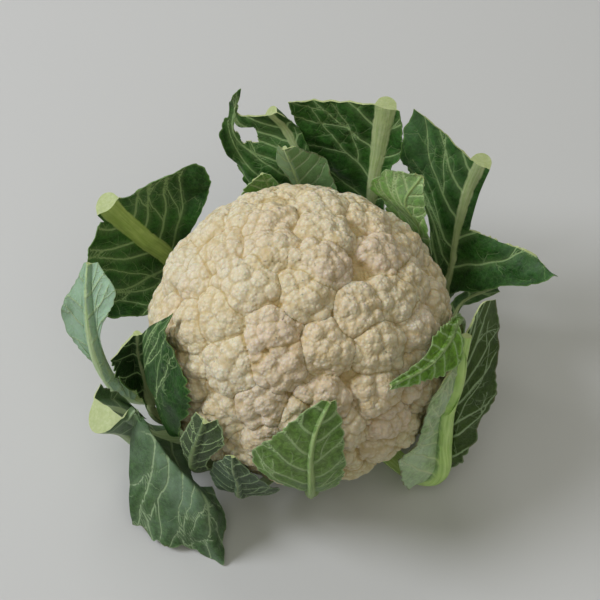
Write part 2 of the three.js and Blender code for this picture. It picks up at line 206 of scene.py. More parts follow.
def turned_surface(profile, edges):
    """A closed surface of revolution in near-equilateral triangles. profile goes from the axis
    at the top to the axis at the bottom, and edges gives the triangle edge at each point of it."""
    steps = np.hypot(*np.diff(profile, axis=0).T)
    lengths = np.concatenate([[0], np.cumsum(steps)])
    stations = [0.0]
    while stations[-1] < lengths[-1]:
        edge = np.interp(stations[-1], lengths, edges)
        stations.append(stations[-1] + TRIANGLE_HEIGHT * edge)
    stations = np.array(stations) * lengths[-1] / stations[-1]
    radii = np.interp(stations, lengths, profile[:, 0])
    heights = np.interp(stations, lengths, profile[:, 1])
    sizes = np.interp(stations, lengths, edges)
    points, triangles = [np.array([[0, 0, heights[0]]])], []
    start, angles = 0, np.zeros(1)
    for ring in range(1, len(stations) - 1):
        count = max(6, round(2 * np.pi * radii[ring] / sizes[ring]))
        ring_angles = (np.arange(count) + 0.5 * (ring % 2)) * 2 * np.pi / count
        ring_start = start + len(angles)
        points.append(np.stack([
            radii[ring] * np.cos(ring_angles),
            radii[ring] * np.sin(ring_angles),
            np.full(count, heights[ring]),
        ], 1))
        if ring == 1:
            j = np.arange(count)
            triangles.append(np.stack([0 * j, ring_start + j, ring_start + (j + 1) % count], 1))
        else:
            triangles += ring_strip(angles, ring_angles, start, ring_start)
        start, angles = ring_start, ring_angles
    last = start + len(angles)
    points.append(np.array([[0, 0, heights[-1]]]))
    j = np.arange(len(angles))
    triangles.append(np.stack([start + j, 0 * j + last, start + (j + 1) % len(angles)], 1))
    return np.vstack(points), np.vstack(triangles)


# ---- curd ----

def curd_radius_at(height):
    """The curd's smooth outline: its radius at a height above the rim."""
    above = height > CURD_WAIST
    reach = np.where(above, CURD_TOP - CURD_WAIST, CURD_WAIST - RIM_HEIGHT)
    share = np.minimum(1, np.abs(height - CURD_WAIST) / reach)
    core = np.where(above, 0, RIM_RADIUS)
    return core + (CURD_RADIUS - core) * np.sqrt(1 - share * share)


def curd_profile():
    turn = np.linspace(0, np.pi / 2, 200)
    upper = np.stack([
        CURD_RADIUS * np.sin(turn),
        CURD_WAIST + (CURD_TOP - CURD_WAIST) * np.cos(turn),
    ], 1)
    lower = np.stack([
        RIM_RADIUS + (CURD_RADIUS - RIM_RADIUS) * np.cos(turn),
        CURD_WAIST - (CURD_WAIST - RIM_HEIGHT) * np.sin(turn),
    ], 1)
    share = np.linspace(0, 1, 40)[1:, None]
    rim, collar = lower[-1], np.array([STEM_RADIUS, STEM_TOP + GAP])
    sloping = rim + (collar - rim) * share
    flat = collar + (np.array([0, STEM_TOP + GAP]) - collar) * share
    return np.vstack([upper, lower[1:], sloping, flat])


def floret_centres():
    """Domes on a golden-angle spiral from the top of the curd to its rim, as in the CAD model."""
    order = np.arange(FLORET_COUNT)
    cosine = 1 - ((order + 0.5) / FLORET_COUNT) * (1 - FLORET_LOW_LIMIT)
    reach = np.where(cosine > 0, CURD_TOP - CURD_WAIST, CURD_WAIST - RIM_HEIGHT)
    height = CURD_WAIST + reach * cosine
    radius = np.where(cosine > 0, CURD_RADIUS * np.sqrt(1 - cosine ** 2), curd_radius_at(height))
    turn = order * GOLDEN_ANGLE
    return np.stack([radius * np.cos(turn), radius * np.sin(turn), height], 1)


def scattered(profile, spacing, jitter, seed):
    """Places spread evenly over the curd above its rim, each moved off its even place a little."""
    random = np.random.default_rng(seed)
    outer = profile[profile[:, 1] > RIM_HEIGHT + 0.5]
    outer = outer[: 1 + np.argmin(outer[:, 1])]
    steps = np.hypot(*np.diff(outer, axis=0).T)
    bands = steps * 2 * np.pi * (outer[1:, 0] + outer[:-1, 0]) / 2
    areas = np.concatenate([[0], np.cumsum(bands)])
    count = int(areas[-1] / (PACKING * spacing ** 2))
    order = (np.arange(count) + 0.5) / count * areas[-1]
    radius = np.interp(order, areas, outer[:, 0])
    height = np.interp(order, areas, outer[:, 1])
    turn = np.arange(count) * GOLDEN_ANGLE
    even = np.stack([radius * np.cos(turn), radius * np.sin(turn), height], 1)
    return even + random.normal(size=even.shape) * jitter * spacing


def balls(places, centres, radius, lifts, softness):
    """The relief that balls at the centres make: each place's height, with 0 on the top of a ball
    that has no lift and the creases rounded over softness mm, and how far the highest ball stands
    above the next there, 0 in the crease."""
    indices, distances = nearest(places, centres, 5)
    drops = radius - np.sqrt(np.maximum(radius ** 2 - distances ** 2, (0.4 * radius) ** 2))
    ordered = np.sort(lifts[indices] - drops, axis=1)[:, ::-1]
    step = ordered[:, 0] - ordered[:, 1]
    rounding = softness * np.maximum(0, 1 - step / softness) ** 2 / 4
    return ordered[:, 0] + rounding, step


def branch_grooves(base, under):
    """The furrows between the branches on the underside, 0 on a branch and 1 between two."""
    turn = np.arctan2(base[:, 1], base[:, 0]) + 0.12 * waves(base, 30, 5)
    reach = np.hypot(base[:, 0], base[:, 1])
    forked = smooth(0.45, 0.8, reach / RIM_RADIUS)
    whole, halves = (np.abs(np.cos(BRANCHES * count * turn / 2)) for count in (1, 2))
    furrow = smooth(0.25, 1, whole + (halves - whole) * forked)
    return under * furrow * smooth(STEM_RADIUS, 38, reach)


def make_curd(material):
    profile = curd_profile()
    coarseness = smooth(CURD_WAIST - 4, RIM_HEIGHT, profile[:, 1])
    below_rim = np.arange(len(profile)) > np.argmin(profile[:, 1])
    edges = np.where(below_rim, COARSE_EDGE, FINE_EDGE + EDGE_GAIN * coarseness)
    base, triangles = turned_surface(profile, edges)
    outward = unit(base - np.array([0, 0, CURD_WAIST]))
    inside = np.hypot(base[:, 0], base[:, 1]) < RIM_RADIUS * 0.98
    under = (inside & (base[:, 2] < CURD_WAIST)) | (base[:, 2] < RIM_HEIGHT + 0.5)
    covered = np.where(under, 0, 1 - smooth(RIM_HEIGHT + 6, RIM_HEIGHT, base[:, 2]))

    # florets: tight and smooth on one side of the head, loose and round on the other
    random = np.random.default_rng(CURD_SEED)
    centres = floret_centres() + random.normal(size=(FLORET_COUNT, 3)) * FLORET_STRAY
    to_loose_side = base @ LOOSE_SIDE / CURD_RADIUS
    looseness = smooth(-0.7, 0.7, to_loose_side + 0.35 * waves(base, 45, 4))
    bent = base + FLORET_BEND * np.stack([waves(base, 16, seed) for seed in (1, 2, 3)], 1)
    lifts = FLORET_LIFT * random.uniform(-1, 1, FLORET_COUNT)
    rounding = CREASE_ROUNDING - CREASE_SHARPENING * looseness
    height, floret_step = balls(bent, centres, FLORET_RADIUS, lifts, rounding)
    owner = nearest(bent, centres, 1)[0][:, 0]
    rise = (height + FLORET_LEVEL) * (FLORET_RELIEF + LOOSE_RELIEF * looseness)
    rise -= CREASE_DEPTH * (0.5 + 0.5 * looseness) * np.exp(-floret_step / 0.7)
    furrow = branch_grooves(base, under)
    points = base + outward * (rise * covered - BRANCH_GROOVE * furrow)[:, None]

    # lumps on the florets, then smaller ones on the lumps
    steps = []
    for level, (spacing, tight, loose) in enumerate(LUMP_LEVELS):
        spots = scattered(profile, spacing, LUMP_JITTER, LUMP_SEED + level)
        anchor = nearest(spots, base, 1)[0][:, 0]
        ball = BALL_SHARE * spacing
        lifts = 0.12 * ball * random.uniform(-1, 1, len(spots))
        direction = unit(0.5 * outward + 0.5 * point_normals(points, triangles))
        height, step = balls(points, points[anchor], ball, lifts, 0.05 * spacing)
        strength = (tight + (loose - tight) * looseness) * covered
        points = points + direction * ((height + BALL_LEVEL * ball) * strength)[:, None]
        steps.append(step / ball)

    attributes = {
        "floret": smooth(0, 2.0, floret_step),
        "cluster": smooth(0, 0.22, steps[0]),
        "lump": smooth(0, 0.28, steps[1]),
        "tint": random.random(FLORET_COUNT)[owner],
        "loose": looseness,
        "under": under.astype(float),
        "furrow": furrow,
    }
    piece = make_object("cauliflower_curd", points, triangles, attributes, [material])
    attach(piece, "root")
    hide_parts("curd")
    return piece


# ---- stem ----

def make_stem(material):
    """The stump under the curd, with the scars of cut leaves round it and its sawn foot below."""
    height = STEM_TOP - stem_low[2]
    rounding = np.linspace(0, np.pi / 2, 8)
    foot = np.stack([
        STEM_RADIUS - STEM_ROUNDING * (1 - np.cos(rounding)),
        stem_low[2] + STEM_ROUNDING * (1 - np.sin(rounding)),
    ], 1)
    side = np.stack([np.full(30, STEM_RADIUS), np.linspace(STEM_TOP, foot[0, 1], 30)], 1)
    profile = np.vstack([[[0, STEM_TOP]], side, foot[1:], [[0, stem_low[2]]]])
    base, triangles = turned_surface(profile, np.full(len(profile), STEM_EDGE))
    turn = np.arctan2(base[:, 1], base[:, 0])
    reach = np.hypot(base[:, 0], base[:, 1])
    up = base[:, 2] - stem_low[2]
    on_side = smooth(STEM_RADIUS - 2.5, STEM_RADIUS - 0.5, reach) * smooth(0.5, 3, up)
    on_foot = smooth(1.2, 0.2, up)

    # scars climb the stem on a golden-angle spiral, each a crescent ridge over a shallow dip
    scars = np.zeros(len(base))
    for order in range(SCAR_COUNT):
        sideways = (turn - order * GOLDEN_ANGLE + np.pi) % (2 * np.pi) - np.pi
        x = sideways * STEM_RADIUS / 11
        y = (up - (0.1 + 0.8 * order / SCAR_COUNT) * height + 2.5 * x ** 2) / 2.2
        scars += np.exp(-x ** 2 - y ** 2) - 0.7 * np.exp(-x ** 2 - (y + 1.6) ** 2)
    bark = waves(base * [1, 1, 0.3], 4, 31) + 0.5 * waves(base, 2.5, 32)
    sunk = on_side * (0.9 - 0.7 * scars - 0.2 * bark)
    points = base - unit(base * [1, 1, 0]) * np.maximum(sunk, 0)[:, None]
    sawn = 0.25 + 0.2 * waves(base * [0.2, 1, 1], 3, 33) + 0.5 * smooth(0.5, 0, reach / STEM_RADIUS)
    points[:, 2] += np.maximum(on_foot * sawn, 0)

    scarred = np.clip(scars, 0, 1) * on_side
    attributes = {"reach": reach / STEM_RADIUS, "foot": on_foot, "scar": scarred}
    piece = make_object("cauliflower_stem", points, triangles, attributes, [material])
    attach(piece, "root")
    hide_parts("stem")
    return piece


# ---- leaves ----

# The leaves, as in the CAD model. A place on a leaf is [degrees from the leaf's turn, distance
# from the axis, height]. rib runs up the midrib from the stem; left and right are the margins,
# left_mid and right_mid shape the blade on the way there, and left_to and right_to are the shares
# of the midrib at which the margins end. rib_width and rib_depth are [at the stem, where the blade
# starts, at the top].
LEAVES = [
    {
        "name": "leaf_back", "turn": 64,
        "rib_width": [16, 16, 12], "rib_depth": [9, 8, 8],
        "puff": 1.8, "ruffle": 2.2, "vein_gap": 19,
        "band": (0.3, 0.95), "crown": 1.0, "bloom": 0.15, "tone_and_painted_light": (1, 1.15, 1),
        "rib": [
            [-6, 26, 13], [-2, 60, 12], [0, 91, 28], [2, 99, 88], [2, 104, 116], [2, 109, 146],
        ],
        "left": [[5, 93, 32], [16, 103, 80], [24, 105, 102], [30, 109, 138]],
        "right": [[-5, 93, 32], [-3, 100, 104], [-6, 105, 120], [-2, 110, 146]],
    },
    {
        "name": "leaf_right_back", "turn": 34,
        "rib_width": [15, 15, 12], "rib_depth": [9, 8, 9],
        "puff": 1.6, "ruffle": 2.0, "vein_gap": 18, "ragged": 1.6,
        "band": (0.2, 0.6), "crown": 0.8, "bloom": 0.42,
        "rib": [
            [-14, 26, 13], [-6, 60, 12], [-2, 90, 27], [-3, 99, 50],
            [2, 108, 88], [4, 115, 110], [4, 120, 130],
        ],
        "left": [[4, 92, 34], [8, 97, 80], [20, 104, 102], [24, 101, 127], [25, 115, 147]],
        "right": [[-7, 93, 44], [-14, 107, 62], [-18, 120, 72], [-21, 132, 77], [-21, 145, 87]],
        "right_to": 0.75,
    },
    {
        "name": "leaf_right_ruffled", "turn": 20,
        "rib_width": [7, 7, 3], "rib_depth": [4, 4, 2],
        "puff": 0.8, "ruffle": 3.0, "vein_gap": 12,
        "rib": [[-5, 26, 24], [-7, 60, 22], [-5, 86, 34], [2, 100, 46], [2, 122, 50]],
        "left": [[-1, 87, 41], [4, 98, 49], [3, 118, 55]],
        "right": [[-10, 87, 36], [2, 91, 42], [1, 106, 44], [1, 123, 47]],
    },
    {
        "name": "leaf_right_front", "turn": -30, "slot": "leaf_waxy",
        "rib_width": [16, 10, 6], "rib_depth": [9, 6, 4],
        "puff": 0.8, "ruffle": 0.8, "vein_gap": 12,
        "under_band": (0.85, 0.9), "bloom": 0.45, "dry": 0.6,
        # painted shade on the blade's left, which faces away from the lamps, and painted light on
        # the midrib and the blade's right, as if lit through from behind
        "tone_and_painted_light": ((0.38, 0.40, 0.20), (1.3, 1.4, 0.95), (2.7, 2.25, 2.5)),
        "rib": [
            [-10, 26, 13], [-10, 60, 12], [-10, 86, 13], [-6, 94, 20], [0, 90, 38],
            [4, 86, 60], [9, 85, 82], [16, 84, 95], [20, 84, 104],
        ],
        "left_mid": [
            [-5, 95, 17], [0, 97, 34], [4, 97, 54], [12, 97, 76], [22, 95, 95], [29, 92, 112],
        ],
        "left": [
            [-4, 98, 16], [-1, 103, 28], [4, 106, 46], [13, 107, 68], [25, 104, 92], [32, 101, 108],
        ],
        "right": [
            [-17, 88, 12], [-20, 84, 33], [-20, 82, 54],
            [-14, 85, 78], [-10, 82, 97], [-4, 82, 101],
        ],
    },
    {
        "name": "leaf_right_flap", "turn": -6, "slot": "leaf_light",
        "rib_width": [8, 6, 2], "rib_depth": [4, 2, 1],
        "puff": 0.7, "ruffle": 0.8, "vein_gap": 9, "teeth": 2.2,
        "under_band": (0.2, 0.0), "bloom": 0.1,
        "tone_and_painted_light": ((1.0, 1.15, 0.5), 1, (1.0, 1.2, 0.55)),
        "rib": [
            [0, 26, 24], [2, 60, 22], [6, 85, 44], [8, 86, 70], [5, 84, 94],
            [-4, 79, 112], [-14, 77, 117], [-28, 74, 121], [-47, 70, 128],
        ],
        "left": [[10, 86, 60], [5, 82, 102], [-8, 74, 121], [-25, 71, 125], [-47, 69, 129]],
        "right": [[-2, 79, 115], [-12, 86, 110], [-23, 83, 112], [-37, 75, 121], [-48, 71, 127]],
    },
    {
        "name": "leaf_front", "turn": -83, "slot": "leaf_light",
        "rib_width": [8, 6, 2], "rib_depth": [6, 4, 2],
        "puff": 0.7, "ruffle": 0.8, "vein_gap": 12, "teeth": 1.6,
        "under_band": (0.7, 0.5), "bloom": 0.35,
        "rib": [
            [0, 26, 13], [0, 60, 13], [-4, 74, 40], [-4, 84, 64],
            [-4, 86, 84], [-4, 81, 104], [-2, 74, 118], [4, 66, 130],
        ],
        "left": [[1, 80, 52], [6, 85, 74], [8, 84, 92], [8, 78, 111], [7, 66, 130]],
        "right": [
            [-8, 83, 62], [-12, 87, 76], [-19, 86, 86], [-25, 84, 97],
            [-17, 78, 115], [-8, 71, 125], [1, 66, 132],
        ],
    },
    {
        "name": "leaf_front_left", "turn": -108, "slot": "leaf_waxy",
        "rib_width": [9, 6, 2], "rib_depth": [5, 3, 1],
        "puff": 0.8, "ruffle": 1.2, "vein_gap": 12,
        "under_band": (0.3, 0.1), "bloom": 0.5, "vein_width": (1.1, 0.4),
        "tone_and_painted_light": (0.42, 0.6, 0.42),
        "rib": [[6, 26, 24], [3, 60, 22], [-6, 79, 30], [-5, 84, 60], [-6, 83, 92]],
        "left": [[3, 74, 27], [9, 82, 56], [4, 83, 74], [-4, 83, 90]],
        "right": [[-3, 74, 28], [-13, 86, 36], [-16, 85, 54], [-9, 84, 89]],
    },
    {
        "name": "leaf_left_front", "turn": 205, "slot": "leaf_waxy",
        "rib_width": [16, 20, 20], "rib_depth": [9, 11, 14],
        "puff": 1.2, "ruffle": 1.6, "vein_gap": 17, "ragged": 1.6,
        "band": (0.3, 0.3), "bloom": 0.42, "vein_angle": 80, "small_veins": 0.15, "dry": 0.4,
        "tone_and_painted_light": (0.9, 1, 1),
        "rib": [[9, 26, 13], [3, 60, 13], [-2, 88, 21], [-6, 99, 42], [-4, 110, 68]],
        "left_mid": [[23, 88, 24], [28, 94, 46], [18, 95, 58], [6, 96, 68], [-1, 98, 70]],
        "left": [
            [29, 84, 30], [37, 92, 14], [42, 112, 4], [33, 112, 5], [27, 119, 5], [16, 125, 6],
        ],
        "right": [[-8, 92, 26], [-12, 102, 46], [-12, 112, 68]],
    },
    {
        "name": "leaf_left_small", "turn": 225, "slot": "leaf_light",
        "rib_width": [9, 8, 3], "rib_depth": [5, 3, 2],
        "puff": 0.6, "ruffle": 1.0, "vein_gap": 12, "vein_width": (0.9, 0.35),
        # painted shade: this leaf lies in shadow, so it is darkened all over
        "under_band": (0.5, 0.2), "tone_and_painted_light": (0.3, 0.5, 0.3),
        "rib": [[7, 26, 24], [5, 60, 22], [3, 82, 40], [5, 88, 62], [7, 87, 84], [9, 80, 108]],
        "left": [[8, 78, 40], [10, 86, 60], [12, 87, 80], [17, 83, 99], [13, 78, 112]],
        "right": [[-3, 84, 42], [0, 88, 60], [1, 88, 84], [4, 80, 108]],
    },
    {
        "name": "leaf_left_inner", "turn": 205,
        "rib_width": [10, 10, 4], "rib_depth": [5, 4, 2],
        "puff": 0.9, "ruffle": 2.8, "vein_gap": 13, "teeth": 2.4,
        "band": (0.3, 0.2), "bloom": 0.2, "vein_width": (1.1, 0.45),
        # painted shade: this leaf stands in shadow, so its blade and midrib are darkened
        "tone_and_painted_light": (0.4, 0.8, 0.7),
        "rib": [
            [-3, 26, 24], [-2, 60, 22], [-3, 85, 42], [-8, 87, 62], [-13, 88, 84], [-14, 86, 106],
        ],
        "right_mid": [[6, 86, 52], [5, 86, 72], [-1, 86, 92], [-8, 82, 110], [-12, 78, 118]],
        "left": [[-5, 89, 50], [-7, 94, 66], [-9, 101, 84], [-10, 102, 98]],
        "right": [
            [17, 84, 66], [19, 79, 112], [14, 73, 122], [5, 72, 127], [-4, 73, 128], [-9, 66, 132],
        ],
    },
    {
        "name": "leaf_left_outer", "turn": 183, "slot": "leaf_waxy",
        "rib_width": [15, 14, 3], "rib_depth": [8, 6, 2],
        "puff": 0.9, "ruffle": 1.4, "vein_gap": 15,
        "band": (0.25, 0.1), "under_band": (0.5, 0.1), "crown": 0.3, "bloom": 1.0,
        "tone_and_painted_light": ((1.55, 1.5, 1.6), 1.1, (1.55, 1.5, 1.6)),
        "rib": [
            [-8, 26, 13], [-3, 60, 12], [2, 97, 22], [1, 109, 48],
            [-3, 113, 72], [-9, 114, 94], [-15, 114, 112],
        ],
        "left": [[5, 95, 28], [2, 107, 54], [-2, 109, 78], [-8, 99, 106], [-15, 109, 114]],
        "right": [[-1, 99, 26], [0, 114, 50], [-6, 130, 80], [-11, 123, 98], [-15, 117, 111]],
    },
    {
        "name": "leaf_left_upper", "turn": 150,
        "rib_width": [16, 18, 15], "rib_depth": [9, 10, 9],
        "puff": 1.4, "ruffle": 2.0, "vein_gap": 16,
        "band": (0.55, 0.75), "crown": 2.0, "bloom": 0.3,
        "tone_and_painted_light": (1, (0.95, 1.05, 0.6), 1),
        "rib": [
            [-14, 26, 13], [-6, 60, 13], [-3, 84, 28], [-8, 94, 54], [-2, 106, 88], [2, 117, 118],
        ],
        "left": [
            [4, 86, 34], [1, 94, 58], [15, 86, 66], [24, 105, 76], [13, 123, 94], [6, 118, 114],
        ],
        "right": [
            [-10, 84, 34], [-13, 93, 62], [-19, 84, 102], [-27, 88, 115],
            [-24, 96, 126], [-14, 102, 124], [-2, 112, 119],
        ],
        "left_to": 0.96,
    },
    {
        "name": "leaf_back_left", "turn": 98,
        "rib_width": [16, 15, 8], "rib_depth": [8, 7, 5],
        "puff": 1.0, "ruffle": 2.0, "vein_gap": 12, "ragged": 1.6,
        "band": (0.3, 0.5), "bloom": 0.25,
        "rib": [
            [-1, 26, 13], [0, 60, 12], [-2, 90, 30], [-7, 98, 102], [-3, 107, 118], [1, 109, 130],
        ],
        "left_mid": [[3, 93, 56], [5, 99, 90], [9, 112, 110], [9, 117, 124]],
        "left": [[6, 94, 56], [10, 102, 82], [15, 114, 106], [12, 121, 126], [8, 118, 146]],
        "right": [[-7, 91, 56], [-11, 99, 104], [-7, 106, 120], [-3, 107, 130]],
        "holes": [[0.88, 0.95, 16, 32]],
    },
    {
        "name": "leaf_back_flap", "turn": 86, "slot": "leaf_waxy",
        "rib_width": [9, 8, 3], "rib_depth": [5, 4, 2],
        "puff": 0.6, "ruffle": 0.8, "vein_gap": 9,
        "band": (0.3, 0.3), "bloom": 0.65, "dry": 0.5,
        "tone_and_painted_light": ((1.5, 1.5, 1.4), 1.2, (0.8, 0.95, 0.6)),
        "rib": [[-4, 26, 24], [-4, 60, 22], [-2, 84, 42], [6, 89, 96], [10, 92, 120]],
        "left": [[4, 86, 60], [9, 86, 102], [13, 90, 112], [12, 94, 122]],
        "right": [[-6, 86, 60], [-9, 87, 90], [-7, 89, 102], [-3, 92, 112], [6, 93, 121]],
    },
    {
        "name": "leaf_back_small", "turn": 46, "slot": "leaf_light",
        "rib_width": [10, 8, 3], "rib_depth": [5, 4, 2],
        "puff": 0.8, "ruffle": 1.0, "vein_gap": 9, "teeth": 2.0,
        "bloom": 0.58, "tone_and_painted_light": ((1.5, 1.4, 1.35), 1.1, (1.5, 1.4, 1.35)),
        "rib": [[4, 26, 24], [2, 60, 22], [-1, 84, 42], [-5, 86, 92], [2, 83, 113], [1, 93, 127]],
        "left": [
            [7, 86, 60], [9, 84, 90], [11, 83, 103], [17, 80, 114], [13, 85, 126], [3, 91, 128],
        ],
        "right": [[-8, 86, 60], [-13, 85, 88], [-5, 87, 108], [-1, 91, 126]],
    },
    {
        "name": "leaf_back_tiny", "turn": 106, "slot": "leaf_light",
        "rib_width": [8, 6, 2], "rib_depth": [4, 3, 1],
        "puff": 0.4, "ruffle": 0.6, "vein_gap": 8, "teeth": 2.0,
        "rib": [[6, 26, 24], [5, 60, 22], [2, 85, 42], [-4, 89, 88], [-2, 92, 100]],
        "left": [[7, 86, 60], [5, 90, 93], [2, 90, 98]],
        "right": [[-3, 86, 60], [-8, 88, 90], [-5, 91, 99]],
    },
]

# What a leaf has where its entry gives nothing else. tooth is the length of a tooth of its margin,
# teeth and ragged are how far its teeth and lobes stand out, and puff and ruffle how far the blade
# swells between its veins and rolls near its margin. band is the share of the midrib's width that
# shows pale on the upper face and under_band on the underside, where the blade starts and at the
# top; crown is how far the midrib stands out of the upper face. A vein has vein_width at the
# midrib and at its end, leaves it at vein_angle, and is about vein_gap from the next. small_veins
# is the share of the small veins that are drawn. bloom and dry are how much of the leaf is waxy and
# how much of its margin is brown. tone_and_painted_light makes the blade's left, the midrib and the
# blade's right lighter or darker, or has a colour for each; on some leaves this is painted shade
# and painted light. holes has [share of the midrib from, to, across the blade from, to].
PLAIN = {
    "slot": "leaf_dark", "tooth": 7.0, "teeth": 1.0, "ragged": 0.8,
    "vein_width": (1.5, 0.6), "vein_angle": 55, "small_veins": 1.0,
    "band": (0.4, 0.4), "under_band": (0.9, 0.6), "crown": 0.5,
    "bloom": 0.4, "dry": 0.0, "tone_and_painted_light": (1, 1, 1), "holes": [],
}


def catmull_rom(points, shares):
    """A centripetal Catmull-Rom curve through the points, at shares of its parameter. Leading
    dimensions of points are curves of their own."""
    points = np.asarray(points, float)
    first = 2 * points[..., :1, :] - points[..., 1:2, :]
    last = 2 * points[..., -1:, :] - points[..., -2:-1, :]
    padded = np.concatenate([first, points, last], axis=-2)
    spans = points.shape[-2] - 1
    at = np.clip(shares, 0, None) * spans
    i = np.minimum(at.astype(int), spans - 1)
    t = (at - i)[:, None]
    p0, p1, p2, p3 = (padded[..., i + k, :] for k in range(4))
    gap0, gap1, gap2 = (
        np.maximum(np.sqrt(np.linalg.norm(b - a, axis=-1, keepdims=True)), 1e-4)
        for a, b in ((p0, p1), (p1, p2), (p2, p3))
    )
    slope1 = ((p1 - p0) / gap0 - (p2 - p0) / (gap0 + gap1) + (p2 - p1) / gap1) * gap1
    slope2 = ((p2 - p1) / gap1 - (p3 - p1) / (gap1 + gap2) + (p3 - p2) / gap2) * gap1
    square = -3 * p1 + 3 * p2 - 2 * slope1 - slope2
    cube = 2 * p1 - 2 * p2 + slope1 + slope2
    return p1 + t * (slope1 + t * (square + t * cube))


def steps_of(line):
    """The distance from each point of a line to the next."""
    return np.linalg.norm(np.diff(line, axis=0), axis=1)


def lengths_along(line):
    return np.concatenate([[0], np.cumsum(steps_of(line))])


def along(points, shares):
    """The curve through points at shares of its length."""
    line = catmull_rom(points, CURVE_SHARES)
    lengths = lengths_along(line)
    return catmull_rom(points, np.interp(np.asarray(shares) * lengths[-1], lengths, CURVE_SHARES))


def length_of(points):
    return steps_of(catmull_rom(points, CURVE_SHARES)).sum()


def to_space(places):
    angle, out, up = np.moveaxis(np.asarray(places, float), -1, 0)
    return np.stack([out * np.cos(angle), out * np.sin(angle), up], -1)


def to_round(points):
    x, y, z = np.moveaxis(points, -1, 0)
    return np.stack([np.arctan2(y, x), np.hypot(x, y), z], -1)


def placed(table):
    """Points in mm from places in degrees, distance and height."""
    return to_space([[np.radians(angle), out, up] for angle, out, up in table])


def keep_off_curd(points, clearance=CURD_CLEARANCE):
    places = to_round(points)
    height = places[..., 2]
    beside = (height > RIM_HEIGHT) & (height < CURD_TOP)
    least = curd_radius_at(np.clip(height, RIM_HEIGHT, CURD_TOP)) + clearance
    places[..., 1] = np.where(beside, np.maximum(places[..., 1], least), places[..., 1])
    return to_space(places)


def rib_size(sizes, shares):
    return np.interp(shares, [0, STALK_SHARE, 1], sizes)


def softened(values, reach):
    """values along rows, each taken as a weighted mean of its neighbours up to reach rows away."""
    steps = np.arange(-3 * reach, 3 * reach + 1)
    weights = np.exp(-0.5 * (steps / reach) ** 2)
    weights /= weights.sum()
    padded = np.pad(values, ((3 * reach, 3 * reach), (0, 0)), mode="edge")
    return np.stack([np.convolve(column, weights, "valid") for column in padded.T], 1)


class Side:
    """One side of a leaf: the lines that guide its blade from the midrib to the margin."""

    def __init__(self, leaf, name, rib):
        lines = [leaf.get(name + "_mid"), leaf[name]]
        self.lines = [placed(line) for line in lines if line]
        self.end = leaf.get(name + "_to", 1)
        search = np.linspace(0, 1, 61)
        gaps = np.linalg.norm(along(rib, search) - self.lines[-1][0], axis=1)
        self.start = search[np.argmin(gaps)]

    def guides(self, shares):
        travel = np.clip((shares - self.start) / (self.end - self.start), 0, 1)
        return [along(line, travel) for line in self.lines]

    def has_blade(self, shares):
        return (shares >= self.start - 1e-6) & (shares <= self.end + 1e-6)


def teeth(lengths, leaf, seed):
    """How far the margin stands out along its length: teeth on broad, uneven lobes."""
    places = np.stack([lengths, 0 * lengths, 0 * lengths], 1)
    saw = np.abs((lengths / leaf["tooth"] + 0.8 * waves(places, 30, seed)) % 1 - 0.35) / 0.65
    ragged = waves(places, 22, seed + 1) + 0.5 * waves(places, 9, seed + 2)
    return leaf["teeth"] * (0.5 - saw) + leaf["ragged"] * ragged


def side_points(edge, side, shares, columns, leaf, outward, seed):
    """Rows of points from beside the midrib out to the margin."""
    guides = side.guides(shares)
    blade = side.has_blade(shares)
    flange = edge + outward * FLANGE
    margin = np.where(blade[:, None], guides[-1], flange)
    width = np.linalg.norm(margin - edge, axis=1)
    relief = teeth(lengths_along(guides[-1]), leaf, seed)
    reach = 1 + np.where(blade, relief / np.maximum(width, 6), 0)
    ends = np.clip(np.minimum(shares - side.start, side.end + 1e-3 - shares) / 0.06, 0, 1)
    reach = 1 + (reach - 1) * ends
    steps = np.arange(1, columns + 1) / columns
    stretch = steps[None] * (1 + (reach[:, None] - 1) * steps[None] ** 3)
    if len(guides) == 1:
        places = np.stack([to_round(edge), to_round(margin)], 1)
        rows = places[:, :1] + (places[:, 1:] - places[:, :1]) * stretch[..., None]
    else:
        middle = np.where(blade[:, None], guides[0], edge + outward * FLANGE / 2)
        places = np.stack([to_round(edge), to_round(middle), to_round(margin)], 1)
        rows = np.stack([catmull_rom(p, s) for p, s in zip(places, stretch)])
    return to_space(rows), blade


def grid_normals(grid):
    down = np.gradient(grid, axis=0)
    across = np.gradient(grid, axis=1)
    return unit(np.cross(down, across))


def grow_vein(start, heading, bend, length, widths, random):
    """A vein from a place on one half of the blade, as rows of [along, across, width, heading].
    Its heading is in radians from the midrib's direction and turns by bend for each mm."""
    steps = np.arange(0, length, VEIN_STEP)
    wiggle = np.sin(steps * random.uniform(0.2, 0.4) + random.uniform(0, 6))
    turns = heading + bend * steps + 0.12 * wiggle
    s = start[0] + np.cumsum(np.cos(turns)) * VEIN_STEP
    d = start[1] + np.cumsum(np.sin(turns)) * VEIN_STEP
    share = steps / length
    width = widths[0] + (widths[1] - widths[0]) * share ** 0.7
    return np.stack([s, d, width, turns], 1)


